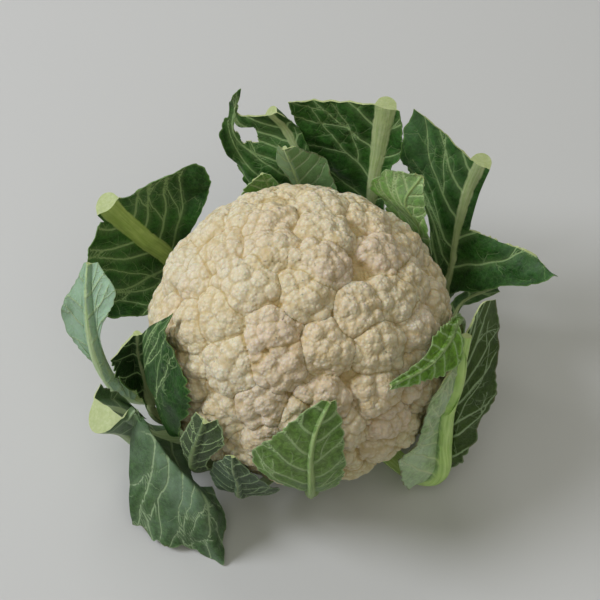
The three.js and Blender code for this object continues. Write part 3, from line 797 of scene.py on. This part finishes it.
def grow_veins(leaf, span, reach, seed):
    """The side veins of one half of a blade, and the small veins that branch off them."""
    random = np.random.default_rng(seed)
    main, small = [], []
    start = span[0] - random.uniform(2, 8)
    while start < span[1]:
        heading = np.radians(random.uniform(-7, 7) + leaf["vein_angle"])
        bend = -0.25 / reach
        vein = grow_vein((start, 0), heading, bend, 1.25 * reach, leaf["vein_width"], random)
        main.append(vein)
        side = 1
        for at in np.arange(random.uniform(0.18, 0.3), 0.85, 7.0 / max(reach, 12)):
            s, d, width, turn = vein[int(at * len(vein))]
            side = -side
            if random.random() < FORK_SHARE:
                heading, length = turn + side * 0.6, (1.1 - at) * reach
                widths = (0.75 * width, 0.5)
                branch = grow_vein((s, d), heading, -side * 0.012, length, widths, random)
                main.append(branch)
            elif random.random() > leaf["small_veins"]:
                continue
            else:
                heading = turn + side * random.uniform(0.8, 1.2)
                length = random.uniform(0.4, 0.65) * leaf["vein_gap"]
                branch = grow_vein((s, d), heading, -side * 0.03, length, SMALL_WIDTHS, random)
                small.append(branch)
            twig_side = 1
            for along_branch in np.arange(0.2, 0.95, 6.0 / max(len(branch) * VEIN_STEP, 7)):
                s, d, width, turn = branch[int(along_branch * len(branch))]
                twig_side = -twig_side
                if random.random() < leaf["small_veins"]:
                    heading = turn + twig_side * random.uniform(0.9, 1.3)
                    length = random.uniform(4, 9)
                    bend = -twig_side * 0.05
                    small.append(grow_vein((s, d), heading, bend, length, TWIG_WIDTHS, random))
        start += leaf["vein_gap"] * random.uniform(0.75, 1.25)
    return main, small


def laid_on_blade(vein, s_rows, d_grid, grid):
    """The vein's places as points on the blade's surface, with their widths, up to the margin or
    to where the blade's rows crowd together."""
    row_spacing = s_rows[1] - s_rows[0]
    rows = (vein[:, 0] - s_rows[0]) / row_spacing
    points = []
    for row, d, width in zip(rows, vein[:, 1], vein[:, 2]):
        near = int(max(row, 0))
        if near > len(s_rows) - 2 or d > d_grid[near, -1] or d < 0:
            break
        share = max(row, 0) - near
        column = np.interp(d, d_grid[near], np.arange(d_grid.shape[1]))
        left = min(int(column), d_grid.shape[1] - 2)
        if np.linalg.norm(grid[near + 1, left] - grid[near, left]) < CROWDED * row_spacing:
            break
        slide = column - left
        low = grid[near, left] * (1 - slide) + grid[near, left + 1] * slide
        high = grid[near + 1, left] * (1 - slide) + grid[near + 1, left + 1] * slide
        points.append([*(low * (1 - share) + high * share), width])
    return np.array(points).reshape(-1, 4)


def vein_field(grid, normals, lines):
    """For each point of the blade: its distance from the nearest vein, the same with a sign that
    tells one side of the vein from the other, and that vein's width."""
    lines = [line for line in lines if len(line) > 1]
    if not lines:
        return (np.full(grid.shape[:2], value) for value in (FAR, FAR, 1.0))
    places = np.vstack(lines)
    headings = np.vstack([np.gradient(line[:, :3], axis=0) for line in lines])
    flat = grid.reshape(-1, 3)
    index, gap = nearest(flat, places[:, :3], 1)
    index = index[:, 0]
    sideways = np.cross(normals.reshape(-1, 3), headings[index])
    sign = np.sign(((flat - places[index, :3]) * sideways).sum(1))
    gap = np.minimum(gap[:, 0], FAR)
    return (field.reshape(grid.shape[:2]) for field in (gap, gap * sign, places[index, 3]))


def leftward(start, sides, shares):
    """Unit vectors across the midrib, towards the leaf's left."""
    tangent = unit(np.gradient(start, axis=0))
    left = np.zeros_like(start)
    for side, sign in zip(sides, (1, -1)):
        toward = unit(side.guides(shares)[0] - start)
        left += sign * toward * side.has_blade(shares)[:, None]
    left[np.linalg.norm(left, axis=1) < 1e-6] = (0, 1, 0)
    left = softened(left, TURN_REACH)
    return unit(left - tangent * (left * tangent).sum(1, keepdims=True))


def leaf_grid(leaf, seed, rib, sides, shares):
    """The leaf as one smooth sheet: rows of points from the left margin to the right one. Also
    the number of columns on each side of the midrib and, for each side, which rows have blade."""
    start = along(rib, shares)
    left = leftward(start, sides, shares)
    half_width = rib_size(leaf["rib_width"], shares) / 2
    rib_grid = start[:, None] + left[:, None] * (half_width[:, None] * ACROSS_RIB)[..., None]
    widest = max(np.linalg.norm(side.guides(shares)[-1] - start, axis=1).max() for side in sides)
    columns = int(widest / COLUMN_SPACING)
    left_grid, left_blade = side_points(
        rib_grid[:, 0], sides[0], shares, columns, leaf, left, seed)
    right_grid, right_blade = side_points(
        rib_grid[:, -1], sides[1], shares, columns, leaf, -left, seed + 5)
    grid = np.concatenate([left_grid[:, ::-1], rib_grid, right_grid], axis=1)
    return keep_off_curd(grid, CURD_CLEARANCE + BLADE_THICKNESS), columns, (left_blade, right_blade)


def leaf_veins(leaf, seed, s, d, grid, centre, blades):
    """The lines of the main and of the small veins on both halves of the blade."""
    lines = [], []
    for sign, blade in zip((1, -1), blades):
        half = slice(centre, None, -sign)
        reach = d[blade][:, half][:, -1].max()
        grown = grow_veins(leaf, s[blade][[0, -1]], reach, seed * 10 + sign)
        for found, veins in zip(lines, grown):
            found.extend(laid_on_blade(vein, s, d[:, half], grid[:, half]) for vein in veins)
    return lines


def solid_cells(leaf, seed, grid, columns, blades, shares, signed_d):
    """Which cells of the grid are leaf: the midrib, and the blade except for its holes."""
    left_blade, right_blade = ((blade[:-1] & blade[1:])[:, None] for blade in blades)
    solid = np.ones(np.subtract(grid.shape[:2], 1), bool)
    solid[:, :columns] = left_blade
    solid[:, columns + RIB_COLUMNS:] = right_blade
    for low_s, high_s, low_d, high_d in leaf["holes"]:
        wobble = 4 * waves(grid[:-1, :-1], 8, seed + 50)
        off_s = (shares[:-1, None] - (low_s + high_s) / 2) / (high_s - low_s)
        off_d = (signed_d[:-1, :-1] + wobble - (low_d + high_d) / 2) / (high_d - low_d)
        solid[np.hypot(off_s, off_d) < 0.5] = False
    return solid


def make_leaf(leaf, seed, materials):
    """A leaf as a closed sheet on its midrib, with puffed blades, veins and an uneven margin."""
    rib = placed(leaf["rib"])
    rib_length = length_of(rib)
    row_count = int(rib_length / ROW_SPACING) + 1
    shares = np.linspace(0, 1, row_count)
    sides = [Side(leaf, name, rib) for name in ("left", "right")]
    grid, columns, blades = leaf_grid(leaf, seed, rib, sides, shares)

    # distances in mm: s along the midrib, d across the blade from the midrib's middle
    centre = columns + RIB_COLUMNS // 2
    steps = np.linalg.norm(np.diff(grid, axis=1), axis=2)
    travel = np.concatenate([np.zeros((row_count, 1)), np.cumsum(steps, axis=1)], axis=1)
    d = np.abs(travel - travel[:, centre:centre + 1])
    s = shares * rib_length
    on_left = np.arange(grid.shape[1]) < centre
    signed_d = np.where(on_left, d, -d)
    edge = np.where(on_left, d[:, :1], d[:, -1:]) - d
    station = np.concatenate([np.full(columns, 1.0), ACROSS_RIB, np.full(columns, -1.0)])
    rib_half = rib_size(leaf["rib_width"], shares)[:, None] / 2
    blade_start = min(side.start for side in sides) * rib_length
    up_blade = np.clip((s - blade_start) / (rib_length - blade_start), 0, 1)
    bands = []
    for low, high in (leaf["band"], leaf["under_band"]):
        share = low + (high - low) * up_blade ** 2
        bands.append((share + (1 - share) * smooth(BAND_REACH, 0, s - blade_start))[:, None])

    normals = grid_normals(grid)
    main_lines, small_lines = leaf_veins(leaf, seed, s, d, grid, centre, blades)
    main_gap, main_side, main_width = vein_field(grid, normals, main_lines)
    small_gap, small_side, small_width = vein_field(grid, normals, small_lines)

    # relief: the blade puffs up between its veins and ruffles towards its margin
    off_rib = smooth(0, 8, d - rib_half) * smooth(0, 12, s[:, None] - blade_start)
    swell = 1 - np.exp(-(main_gap / PUFF_REACH) ** 2)
    puff = leaf["puff"] * swell + SMALL_PUFF * leaf["puff"] * np.minimum(small_gap, 2)
    roll = leaf["ruffle"] * smooth(0.2, 1.1, d / np.maximum(d.max(), 1))
    ruffle = roll * (waves(grid, 34, seed + 40) + 0.5 * waves(grid, 15, seed + 41))
    crown = leaf["crown"] * np.maximum(0, 1 - (station / bands[0]) ** 2)
    upper = keep_off_curd(grid - normals * ((puff + ruffle) * off_rib + crown)[..., None])
    # normals of the face without its crown, which are too even to cross inside a deep midrib
    normals = grid_normals(upper + normals * crown[..., None])
    keel = np.sqrt(np.maximum(0, 1 - station ** 2))
    rib_depth = rib_size(leaf["rib_depth"], shares)[:, None] * keel
    vein_ridge = np.exp(-(main_gap / (0.7 * main_width)) ** 2) * smooth(0, 2, d - rib_half)
    raised = VEIN_RELIEF * main_width * vein_ridge
    inward = smooth(0, MARGIN_REACH, edge)
    thickness = BLADE_THICKNESS * (MARGIN_SHARE + (1 - MARGIN_SHARE) * inward)
    under = keep_off_curd(upper + normals * (thickness + rib_depth + crown + raised)[..., None])
    for face in (upper, under):
        face[..., 2] = np.maximum(face[..., 2], FLOOR_CLEARANCE)
    solid = solid_cells(leaf, seed, grid, columns, blades, s / rib_length, signed_d)
    points, faces, kinds, where = closed_sheet(upper, under, solid)

    def on_points(*grids):
        """Values at the mesh's points, from one grid for both faces or from one for each."""
        both = np.concatenate([grids[0], grids[-1]])
        return both.reshape(2 * d.size, -1)[where].squeeze()

    place = np.stack([np.broadcast_to(s[:, None], d.shape), signed_d, 0 * d + seed * 7.0], -1)
    left_tone, rib_tone, right_tone = (np.ones(3) * tone_and_painted_light for tone_and_painted_light in leaf["tone_and_painted_light"])
    blade_tone = left_tone + (right_tone - left_tone) * smooth(2, -2, signed_d)[..., None]
    rib_gaps = [d - band * rib_half for band in bands]
    attributes = {
        "main_gap": on_points(main_gap / main_width),
        "main_side": on_points(main_side / main_width),
        "small_gap": on_points(small_gap),
        "small_side": on_points(small_side / small_width),
        "rib_gap": on_points(*rib_gaps),
        "edge": on_points(edge),
        "under": on_points(0 * d, 0 * d + 1),
        "place": on_points(place),
        "bloom": np.full(len(where), leaf["bloom"]),
        "dry": np.full(len(where), leaf["dry"]),
        "tone_and_painted_light": on_points(*(
            blade_tone + (rib_tone - blade_tone) * smooth(1.5, 0, gap)[..., None]
            for gap in rib_gaps
        )),
    }
    angle = np.radians(leaf["turn"])
    turn = np.array([
        [np.cos(angle), np.sin(angle), 0], [-np.sin(angle), np.cos(angle), 0], [0, 0, 1],
    ])
    name = "cauliflower_" + leaf["name"]
    piece = make_object(name, points @ turn, faces, attributes, materials, kinds)
    piece.data.set_sharp_from_angle(angle=CUT_ANGLE)
    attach(piece, "root")
    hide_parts(leaf["name"])
    return piece


def closed_sheet(upper, under, solid):
    """A closed mesh from the two faces of a leaf and walls round its solid cells. Also each
    face's material, 0 for skin and 1 for a cut or edge, and each point's place in the faces."""
    rows, row_length = upper.shape[:2]
    size = rows * row_length
    index = np.arange(size).reshape(rows, row_length)
    a, b = index[:-1, :-1], index[:-1, 1:]
    c, d = index[1:, 1:], index[1:, :-1]
    top = np.stack([a, b, c, d], -1)[solid]
    bottom = (np.stack([d, c, b, a], -1) + size)[solid]
    padded = np.pad(solid, 1)
    faces, kinds = [top, bottom], [np.zeros(len(top) + len(bottom), int)]
    for first, second, beyond, is_cut in (
        (a, b, padded[:-2, 1:-1], True), (b, c, padded[1:-1, 2:], False),
        (c, d, padded[2:, 1:-1], True), (d, a, padded[1:-1, :-2], False),
    ):
        open_edge = solid & ~beyond
        f, g = first[open_edge], second[open_edge]
        faces.append(np.stack([f, f + size, g + size, g], -1))
        kinds.append(np.full(len(f), int(is_cut)))
    faces, kinds = np.vstack(faces), np.concatenate(kinds)
    where, faces = np.unique(faces, return_inverse=True)
    points = np.concatenate([upper.reshape(-1, 3), under.reshape(-1, 3)])[where]
    return points, faces.reshape(-1, 4), kinds, where


# ---- materials ----

def node(tree, kind, settings=None, **inputs):
    """A shader node. An input takes a number, a colour or another node's output."""
    made = tree.nodes.new("ShaderNode" + kind)
    for key, value in (settings or {}).items():
        setattr(made, key, value)
    for key, value in inputs.items():
        socket = made.inputs[int(key[1:])] if key[0] == "_" else made.inputs[key.replace("_", " ")]
        if isinstance(value, bpy.types.NodeSocket):
            tree.links.new(value, socket)
        else:
            socket.default_value = value
    return made


def new_material(name):
    """A material with no nodes but the one that gives a place on the piece, in metres."""
    material = bpy.data.materials.new(name)
    material.use_nodes = True
    tree = material.node_tree
    tree.nodes.clear()
    return material, tree, node(tree, "TexCoord").outputs["Object"]


def attribute(tree, name, output="Fac"):
    return node(tree, "Attribute", {"attribute_name": name}).outputs[output]


def noise(tree, place, per_metre, detail=3, roughness=0.55):
    made = node(tree, "TexNoise", Vector=place, Scale=per_metre, Detail=detail, Roughness=roughness)
    return made.outputs["Fac"]


def ramp(tree, value, low, high, start=0.0, end=1.0):
    """value taken from low..high to start..end, in an even S."""
    made = node(tree, "MapRange", {"interpolation_type": "SMOOTHSTEP"})
    tree.links.new(value, made.inputs["Value"])
    for key, number in (("From Min", low), ("From Max", high), ("To Min", start), ("To Max", end)):
        made.inputs[key].default_value = number
    return made.outputs["Result"]


def blend_colours(tree, share, first, second, how="MIX"):
    made = node(tree, "Mix", {"data_type": "RGBA", "blend_type": how, "clamp_factor": True})
    for index, value in ((0, share), (6, first), (7, second)):
        socket = made.inputs[index]
        if isinstance(value, bpy.types.NodeSocket):
            tree.links.new(value, socket)
        else:
            socket.default_value = value if isinstance(value, float) else (*value, 1.0)
    return made.outputs[2]


def spread(tree, value, low, high, first, second):
    """The first colour where value is low and the second where it is high."""
    return blend_colours(tree, ramp(tree, value, low, high), first, second)


def shaded(tree, colour, shade):
    """A colour times a number."""
    grey = node(tree, "CombineColor", _0=shade, _1=shade, _2=shade).outputs[0]
    return blend_colours(tree, 1.0, colour, grey, "MULTIPLY")


def times(tree, first, second):
    return node(tree, "Math", {"operation": "MULTIPLY"}, _0=first, _1=second).outputs[0]


def plus(tree, first, second):
    return node(tree, "Math", {"operation": "ADD"}, _0=first, _1=second).outputs[0]


def vector_math(tree, operation, first, **inputs):
    return node(tree, "VectorMath", {"operation": operation}, _0=first, **inputs).outputs[0]


def bump(tree, strength, distance, height, beneath=None, **settings):
    """A normal with the relief of height, up to distance in metres, on that of beneath."""
    made = node(tree, "Bump", settings, Strength=strength, Distance=distance, Height=height)
    if beneath:
        tree.links.new(beneath, made.inputs["Normal"])
    return made.outputs[0]


def finish_material(tree, colour, normal, **settings):
    surface = node(tree, "BsdfPrincipled", Base_Color=colour, Normal=normal)
    for key, value in settings.items():
        socket = surface.inputs[key.replace("_", " ")]
        if isinstance(value, bpy.types.NodeSocket):
            tree.links.new(value, socket)
        else:
            socket.default_value = value
    output = node(tree, "OutputMaterial")
    tree.links.new(surface.outputs[0], output.inputs["Surface"])


def curd_material():
    """Cream flesh in grains, painted tan shade in the creases, rosy on some loose florets, painted
    yellow-green shade on the lower part, and painted shade in the furrows of the green underside.
    """
    material, tree, place = new_material("curd_flesh")
    patch = noise(tree, place, 24, 3)
    speckle = noise(tree, place, 420, 4, 0.65)
    floret, lump, cluster = (attribute(tree, name) for name in ("floret", "lump", "cluster"))
    grains = node(
        tree, "TexVoronoi", {"feature": "SMOOTH_F1"}, Vector=place, Scale=560.0, Smoothness=0.15)
    dome = ramp(tree, grains.outputs["Distance"], 0.05, 0.75, 1.0, 0.0)

    loose = attribute(tree, "loose")
    cream = spread(tree, patch, 0.35, 0.65, (0.74, 0.70, 0.55), (0.73, 0.65, 0.46))
    cream = blend_colours(tree, times(tree, loose, 0.5), cream, (0.69, 0.59, 0.43))
    rosy = times(tree, loose, ramp(tree, attribute(tree, "tint"), 0.4, 0.9, 0.0, 0.45))
    colour = blend_colours(tree, rosy, cream, (0.69, 0.54, 0.47))
    # painted shade: the curd's lower part is darker and yellow-green, the colour of its shade under
    # light off the green leaves
    height = node(tree, "SeparateXYZ", Vector=place).outputs["Z"]
    low = ramp(tree, height, 0.055, 0.115, 0.55, 0.0)
    colour = blend_colours(tree, low, colour, (0.62, 0.61, 0.36))
    # painted shade: tan darkening in the creases between grains, lumps, clusters and florets
    for crease, reach, share in (
        (dome, 0.6, 0.20), (lump, 0.8, 0.22), (cluster, 0.8, 0.38), (floret, 0.8, 0.62),
    ):
        tan = ramp(tree, crease, 0.0, reach, share, 0.0)
        colour = blend_colours(tree, tan, colour, (0.46, 0.32, 0.10))
    # painted shade: the green underside is darker in the furrows between its branches
    branch = blend_colours(tree, attribute(tree, "furrow"), (0.56, 0.60, 0.34), (0.36, 0.38, 0.17))
    colour = blend_colours(tree, attribute(tree, "under"), colour, branch)
    colour = shaded(tree, colour, ramp(tree, speckle, 0.3, 0.7, 0.95, 1.03))

    relief = bump(tree, 0.7, 0.00045, dome)
    relief = bump(tree, 0.25, 0.0002, speckle, relief)
    finish_material(
        tree, colour, relief, Roughness=ramp(tree, speckle, 0.3, 0.7, 0.60, 0.75),
        Subsurface_Weight=0.5, Subsurface_Radius=(0.9, 0.6, 0.3), Subsurface_Scale=0.002,
        Specular_IOR_Level=0.25,
    )
    return material


def stem_material():
    """Pale green skin with tan scars, and a sawn foot with a ring of fibre round the pith."""
    material, tree, place = new_material("stem_skin")
    mottle = noise(tree, place, 140, 4, 0.6)
    dots = node(tree, "TexVoronoi", Vector=place, Scale=620.0).outputs["Distance"]
    reach = plus(tree, attribute(tree, "reach"), times(tree, mottle, 0.08))
    skin = spread(tree, mottle, 0.3, 0.7, (0.42, 0.50, 0.26), (0.55, 0.60, 0.38))
    skin = blend_colours(tree, attribute(tree, "scar"), skin, (0.50, 0.42, 0.24))
    pith = spread(tree, dots, 0.1, 0.4, (0.52, 0.54, 0.36), (0.66, 0.66, 0.47))
    fibre = spread(tree, dots, 0.1, 0.5, (0.40, 0.36, 0.20), (0.60, 0.58, 0.38))
    foot = spread(tree, reach, 0.62, 0.72, pith, fibre)
    foot = spread(tree, reach, 0.90, 0.96, foot, (0.42, 0.46, 0.24))
    dried = ramp(tree, noise(tree, place, 60, 4), 0.45, 0.75, 0.0, 0.5)
    foot = blend_colours(tree, dried, foot, (0.38, 0.28, 0.14))
    colour = blend_colours(tree, attribute(tree, "foot"), skin, foot)
    relief = bump(tree, 0.4, 0.0003, dots, invert=True)
    relief = bump(tree, 0.4, 0.0004, mottle, relief)
    finish_material(
        tree, colour, relief, Roughness=ramp(tree, mottle, 0.3, 0.7, 0.5, 0.7),
        Subsurface_Weight=0.2, Subsurface_Radius=(0.8, 0.8, 0.4), Subsurface_Scale=0.0015,
    )
    return material


def line_of(tree, kind, reach):
    """1 on the leaf's main or small veins and 0 off them. The signed distance keeps a line crisp
    between mesh points, and the plain one leaves out the places halfway between two veins."""
    side = attribute(tree, kind + "_side")
    side = node(tree, "Math", {"operation": "ABSOLUTE"}, _0=side).outputs[0]
    on_line = ramp(tree, side, 0.35 * reach, reach, 1.0, 0.0)
    return times(tree, on_line, ramp(tree, attribute(tree, kind + "_gap"), 1.2, 2.4, 1.0, 0.0))


def leaf_material(name, look):
    """A leaf's skin: green blade with pale veins, waxy bloom, a lighter underside, a pale margin
    that is partly a painted highlight, and on some leaves painted shade and painted light.
    """
    material, tree, place = new_material(name)
    sheet = attribute(tree, "place", "Vector")
    under, edge = attribute(tree, "under"), attribute(tree, "edge")

    patch = noise(tree, place, 30, 3)
    mottle = noise(tree, place, 160, 4)
    fine = noise(tree, place, 900, 3)
    wander = node(tree, "TexNoise", Vector=sheet, Scale=0.16, Detail=2.0).outputs["Color"]
    bent = vector_math(tree, "ADD", sheet, _1=vector_math(tree, "SCALE", wander, Scale=5.0))
    cells = node(tree, "TexVoronoi", {"feature": "DISTANCE_TO_EDGE"}, Vector=bent, Scale=0.42)
    tertiary = ramp(tree, cells.outputs["Distance"], 0.0, 0.09, 1.0, 0.0)
    main, small = line_of(tree, "main", 0.8), line_of(tree, "small", 1.0)
    halo = ramp(tree, attribute(tree, "main_gap"), 0.0, 4.0, 1.0, 0.0)

    # the midrib's pale band has an uneven edge
    fray = times(tree, noise(tree, place, 110, 3), 2.6)
    frayed = plus(tree, attribute(tree, "rib_gap"), fray)
    rib = ramp(tree, frayed, 1.0, 2.0, 1.0, 0.0)

    upper = spread(tree, patch, 0.36, 0.64, look["blade"], look["blade_2"])
    lower = spread(tree, patch, 0.36, 0.64, look["under"], look["under_2"])
    blade = blend_colours(tree, under, upper, lower)
    blade = blend_colours(tree, ramp(tree, mottle, 0.35, 0.7, 0.0, 0.4), blade, look["fresh"])
    speckle = noise(tree, place, 430, 3, 0.6)
    blade = shaded(tree, blade, ramp(tree, speckle, 0.36, 0.64, 0.72, 1.25))
    blade = blend_colours(tree, times(tree, halo, 0.22), blade, look["vein"])
    waxy = plus(tree, noise(tree, place, 24, 4, 0.6), attribute(tree, "bloom"))
    blade = spread(tree, waxy, 0.80, 1.25, blade, look["bloom_colour"])
    # the veins follow a tone_and_painted_light that lightens the blade, by half, and none that
    # darkens it; on some leaves that is painted shade, on others painted light
    tone_and_painted_light = attribute(tree, "tone_and_painted_light", "Color")
    blade = blend_colours(tree, 1.0, blade, tone_and_painted_light, "MULTIPLY")
    lighter = vector_math(tree, "MAXIMUM", tone_and_painted_light, _1=(1.0, 1.0, 1.0))
    lighter = blend_colours(tree, 0.5, lighter, (1.0, 1.0, 1.0))
    vein = blend_colours(tree, 1.0, look["vein"], lighter, "MULTIPLY")
    for line, share in ((tertiary, 0.07), (small, 0.34), (main, 0.88)):
        blade = blend_colours(tree, times(tree, line, share), blade, vein)
    # a paler margin, partly the thin edge's own colour and partly a painted highlight along it
    blade = blend_colours(tree, ramp(tree, edge, 0.2, 1.1, 0.55, 0.0), blade, look["rim"])
    torn = plus(tree, edge, times(tree, noise(tree, sheet, 0.11, 3), -7.0))
    brown = times(tree, ramp(tree, torn, -3.9, -2.6, 1.0, 0.0), attribute(tree, "dry"))
    blade = blend_colours(tree, brown, blade, (0.13, 0.075, 0.030))

    fibre = noise(tree, vector_math(tree, "MULTIPLY", sheet, _1=(0.05, 0.9, 1.0)), 1.0, 3)
    stalk = spread(tree, fibre, 0.3, 0.7, look["rib"], look["rib_2"])
    frost = times(tree, ramp(tree, mottle, 0.4, 0.65), 0.15)
    stalk = blend_colours(tree, frost, stalk, look["bloom_colour"])
    stalk = blend_colours(tree, 1.0, stalk, tone_and_painted_light, "MULTIPLY")
    colour = blend_colours(tree, rib, blade, stalk)

    # veins are sunk in the upper face and stand out of the underside, but not on the midrib
    height = plus(tree, main, times(tree, small, 0.5))
    height = plus(tree, height, times(tree, tertiary, 0.2))
    height = times(tree, height, ramp(tree, frayed, 0.5, 2.0))
    height = plus(tree, height, times(tree, speckle, -0.9))
    sign = ramp(tree, under, 0.0, 1.0, -1.0, 1.0)
    relief = bump(tree, 0.7, 0.0005, times(tree, height, sign))
    relief = bump(tree, 0.3, 0.0004, times(tree, fibre, rib), relief)
    relief = bump(tree, 0.3, 0.0002, fine, relief)
    finish_material(
        tree, colour, relief, Roughness=ramp(tree, mottle, 0.3, 0.7, 0.40, 0.58),
        Subsurface_Weight=0.15, Subsurface_Radius=(0.5, 1.0, 0.25), Subsurface_Scale=0.001,
        Specular_IOR_Level=0.2,
    )
    return material


def cut_material():
    """Pale flesh where a leaf or stalk was cut, and along the edge of a blade."""
    material, tree, place = new_material("leaf_flesh")
    spots = noise(tree, place, 700, 3)
    pale = spread(tree, spots, 0.3, 0.7, (0.40, 0.48, 0.20), (0.50, 0.56, 0.29))
    patch = ramp(tree, noise(tree, place, 200, 3), 0.3, 0.7, 0.0, 0.5)
    colour = blend_colours(tree, patch, pale, (0.36, 0.42, 0.17))
    finish_material(
        tree, colour, bump(tree, 0.4, 0.0003, spots), Roughness=0.6,
        Subsurface_Weight=0.3, Subsurface_Radius=(0.9, 0.9, 0.3), Subsurface_Scale=0.002,
    )
    return material


LOOKS = {
    "leaf_dark": {
        "blade": (0.012, 0.052, 0.007), "blade_2": (0.030, 0.110, 0.018),
        "under": (0.070, 0.145, 0.045), "under_2": (0.100, 0.185, 0.065),
        "fresh": (0.045, 0.135, 0.018), "bloom_colour": (0.105, 0.205, 0.095),
        "vein": (0.30, 0.44, 0.19), "rim": (0.17, 0.30, 0.08),
        "rib": (0.48, 0.56, 0.30), "rib_2": (0.34, 0.44, 0.18),
    },
    "leaf_light": {
        "blade": (0.075, 0.215, 0.025), "blade_2": (0.115, 0.290, 0.040),
        "under": (0.100, 0.190, 0.035), "under_2": (0.150, 0.250, 0.060),
        "fresh": (0.14, 0.28, 0.055), "bloom_colour": (0.22, 0.33, 0.19),
        "vein": (0.38, 0.52, 0.25), "rim": (0.42, 0.56, 0.28),
        "rib": (0.36, 0.47, 0.19), "rib_2": (0.24, 0.36, 0.12),
    },
    "leaf_waxy": {
        "blade": (0.045, 0.105, 0.030), "blade_2": (0.070, 0.145, 0.050),
        "under": (0.085, 0.165, 0.050), "under_2": (0.120, 0.210, 0.080),
        "fresh": (0.09, 0.17, 0.055), "bloom_colour": (0.24, 0.36, 0.24),
        "vein": (0.34, 0.46, 0.26), "rim": (0.30, 0.42, 0.23),
        "rib": (0.50, 0.61, 0.36), "rib_2": (0.34, 0.47, 0.20),
    },
}


# ---- stage ----

FLOOR_REACH = 6.0  # metres from the middle of the floor to its edges

# Round soft lights: name, degrees round the curd, degrees up, distance and size in m, power in W
# and colour
LIGHTS = [
    ("side_window", 174, 42, 2.8, 1.1, 52, (0.92, 0.935, 1.0)),
    ("back_window", 100, 50, 2.4, 1.2, 10, (1.0, 0.995, 0.985)),
    ("ceiling", -75, 68, 2.4, 2.4, 13, (1.0, 1.0, 0.87)),
]
ROOM_COLOUR = (0.90, 0.90, 0.78, 1)
ROOM_STRENGTH = 0.185

# The photo's view, in metres: it looks down from in front, along +y
CAMERA_ELEVATION = np.radians(60)
CAMERA_DISTANCE = 0.65
CAMERA_TARGET = Vector((-0.0011, 0.0166, 0.085))
CAMERA_LENS = 72.1
SENSOR_WIDTH = 36


def make_stage():
    low, high = -FLOOR_REACH, FLOOR_REACH
    mesh = bpy.data.meshes.new("floor")
    corners = [(low, low, 0), (high, low, 0), (high, high, 0), (low, high, 0)]
    mesh.from_pydata(corners, [], [(0, 1, 2, 3)])
    floor = bpy.data.objects.new("floor", mesh)
    bpy.context.collection.objects.link(floor)
    material, tree, place = new_material("floor_grey")
    grain = noise(tree, place, 900, 2)
    colour = blend_colours(tree, grain, (0.575, 0.575, 0.570), (0.585, 0.585, 0.580))
    finish_material(tree, colour, bump(tree, 0.02, 0.0002, grain), Roughness=0.7)
    mesh.materials.append(material)


def look_at(thing, target):
    thing.rotation_euler = (Vector(target) - thing.location).to_track_quat("-Z", "Y").to_euler()


def add_light(name, turn, elevation, distance, size, power, colour):
    """A round soft light that shines on the middle of the curd."""
    light = bpy.data.lights.new(name, "AREA")
    light.shape = "DISK"
    light.size = size
    light.energy = power
    light.color = colour
    lamp = bpy.data.objects.new(name, light)
    bpy.context.collection.objects.link(lamp)
    turn, elevation = np.radians((turn, elevation))
    flat = np.cos(elevation)
    direction = Vector((flat * np.cos(turn), flat * np.sin(turn), np.sin(elevation)))
    middle = Vector((0, 0, CURD_WAIST * MM))
    lamp.location = middle + distance * direction
    look_at(lamp, middle)


def make_lights():
    for light in LIGHTS:
        add_light(*light)
    world = bpy.data.worlds.new("room")
    world.use_nodes = True
    background = world.node_tree.nodes["Background"]
    background.inputs["Color"].default_value = ROOM_COLOUR
    background.inputs["Strength"].default_value = ROOM_STRENGTH
    bpy.context.scene.world = world


def make_camera():
    data = bpy.data.cameras.new("camera")
    data.lens = CAMERA_LENS
    data.sensor_width = SENSOR_WIDTH
    camera = bpy.data.objects.new("camera", data)
    bpy.context.collection.objects.link(camera)
    toward_camera = Vector((0, -np.cos(CAMERA_ELEVATION), np.sin(CAMERA_ELEVATION)))
    camera.location = CAMERA_TARGET + CAMERA_DISTANCE * toward_camera
    look_at(camera, CAMERA_TARGET)
    bpy.context.scene.camera = camera
    bpy.context.scene.view_settings.view_transform = "Standard"


make_camera()
make_lights()
make_stage()
make_curd(curd_material())
make_stem(stem_material())
flesh = cut_material()
skins = {name: leaf_material(name + "_skin", look) for name, look in LOOKS.items()}
for seed, leaf in enumerate(LEAVES, 1):
    leaf = {**PLAIN, **leaf}
    make_leaf(leaf, seed, [skins[leaf["slot"]], flesh])
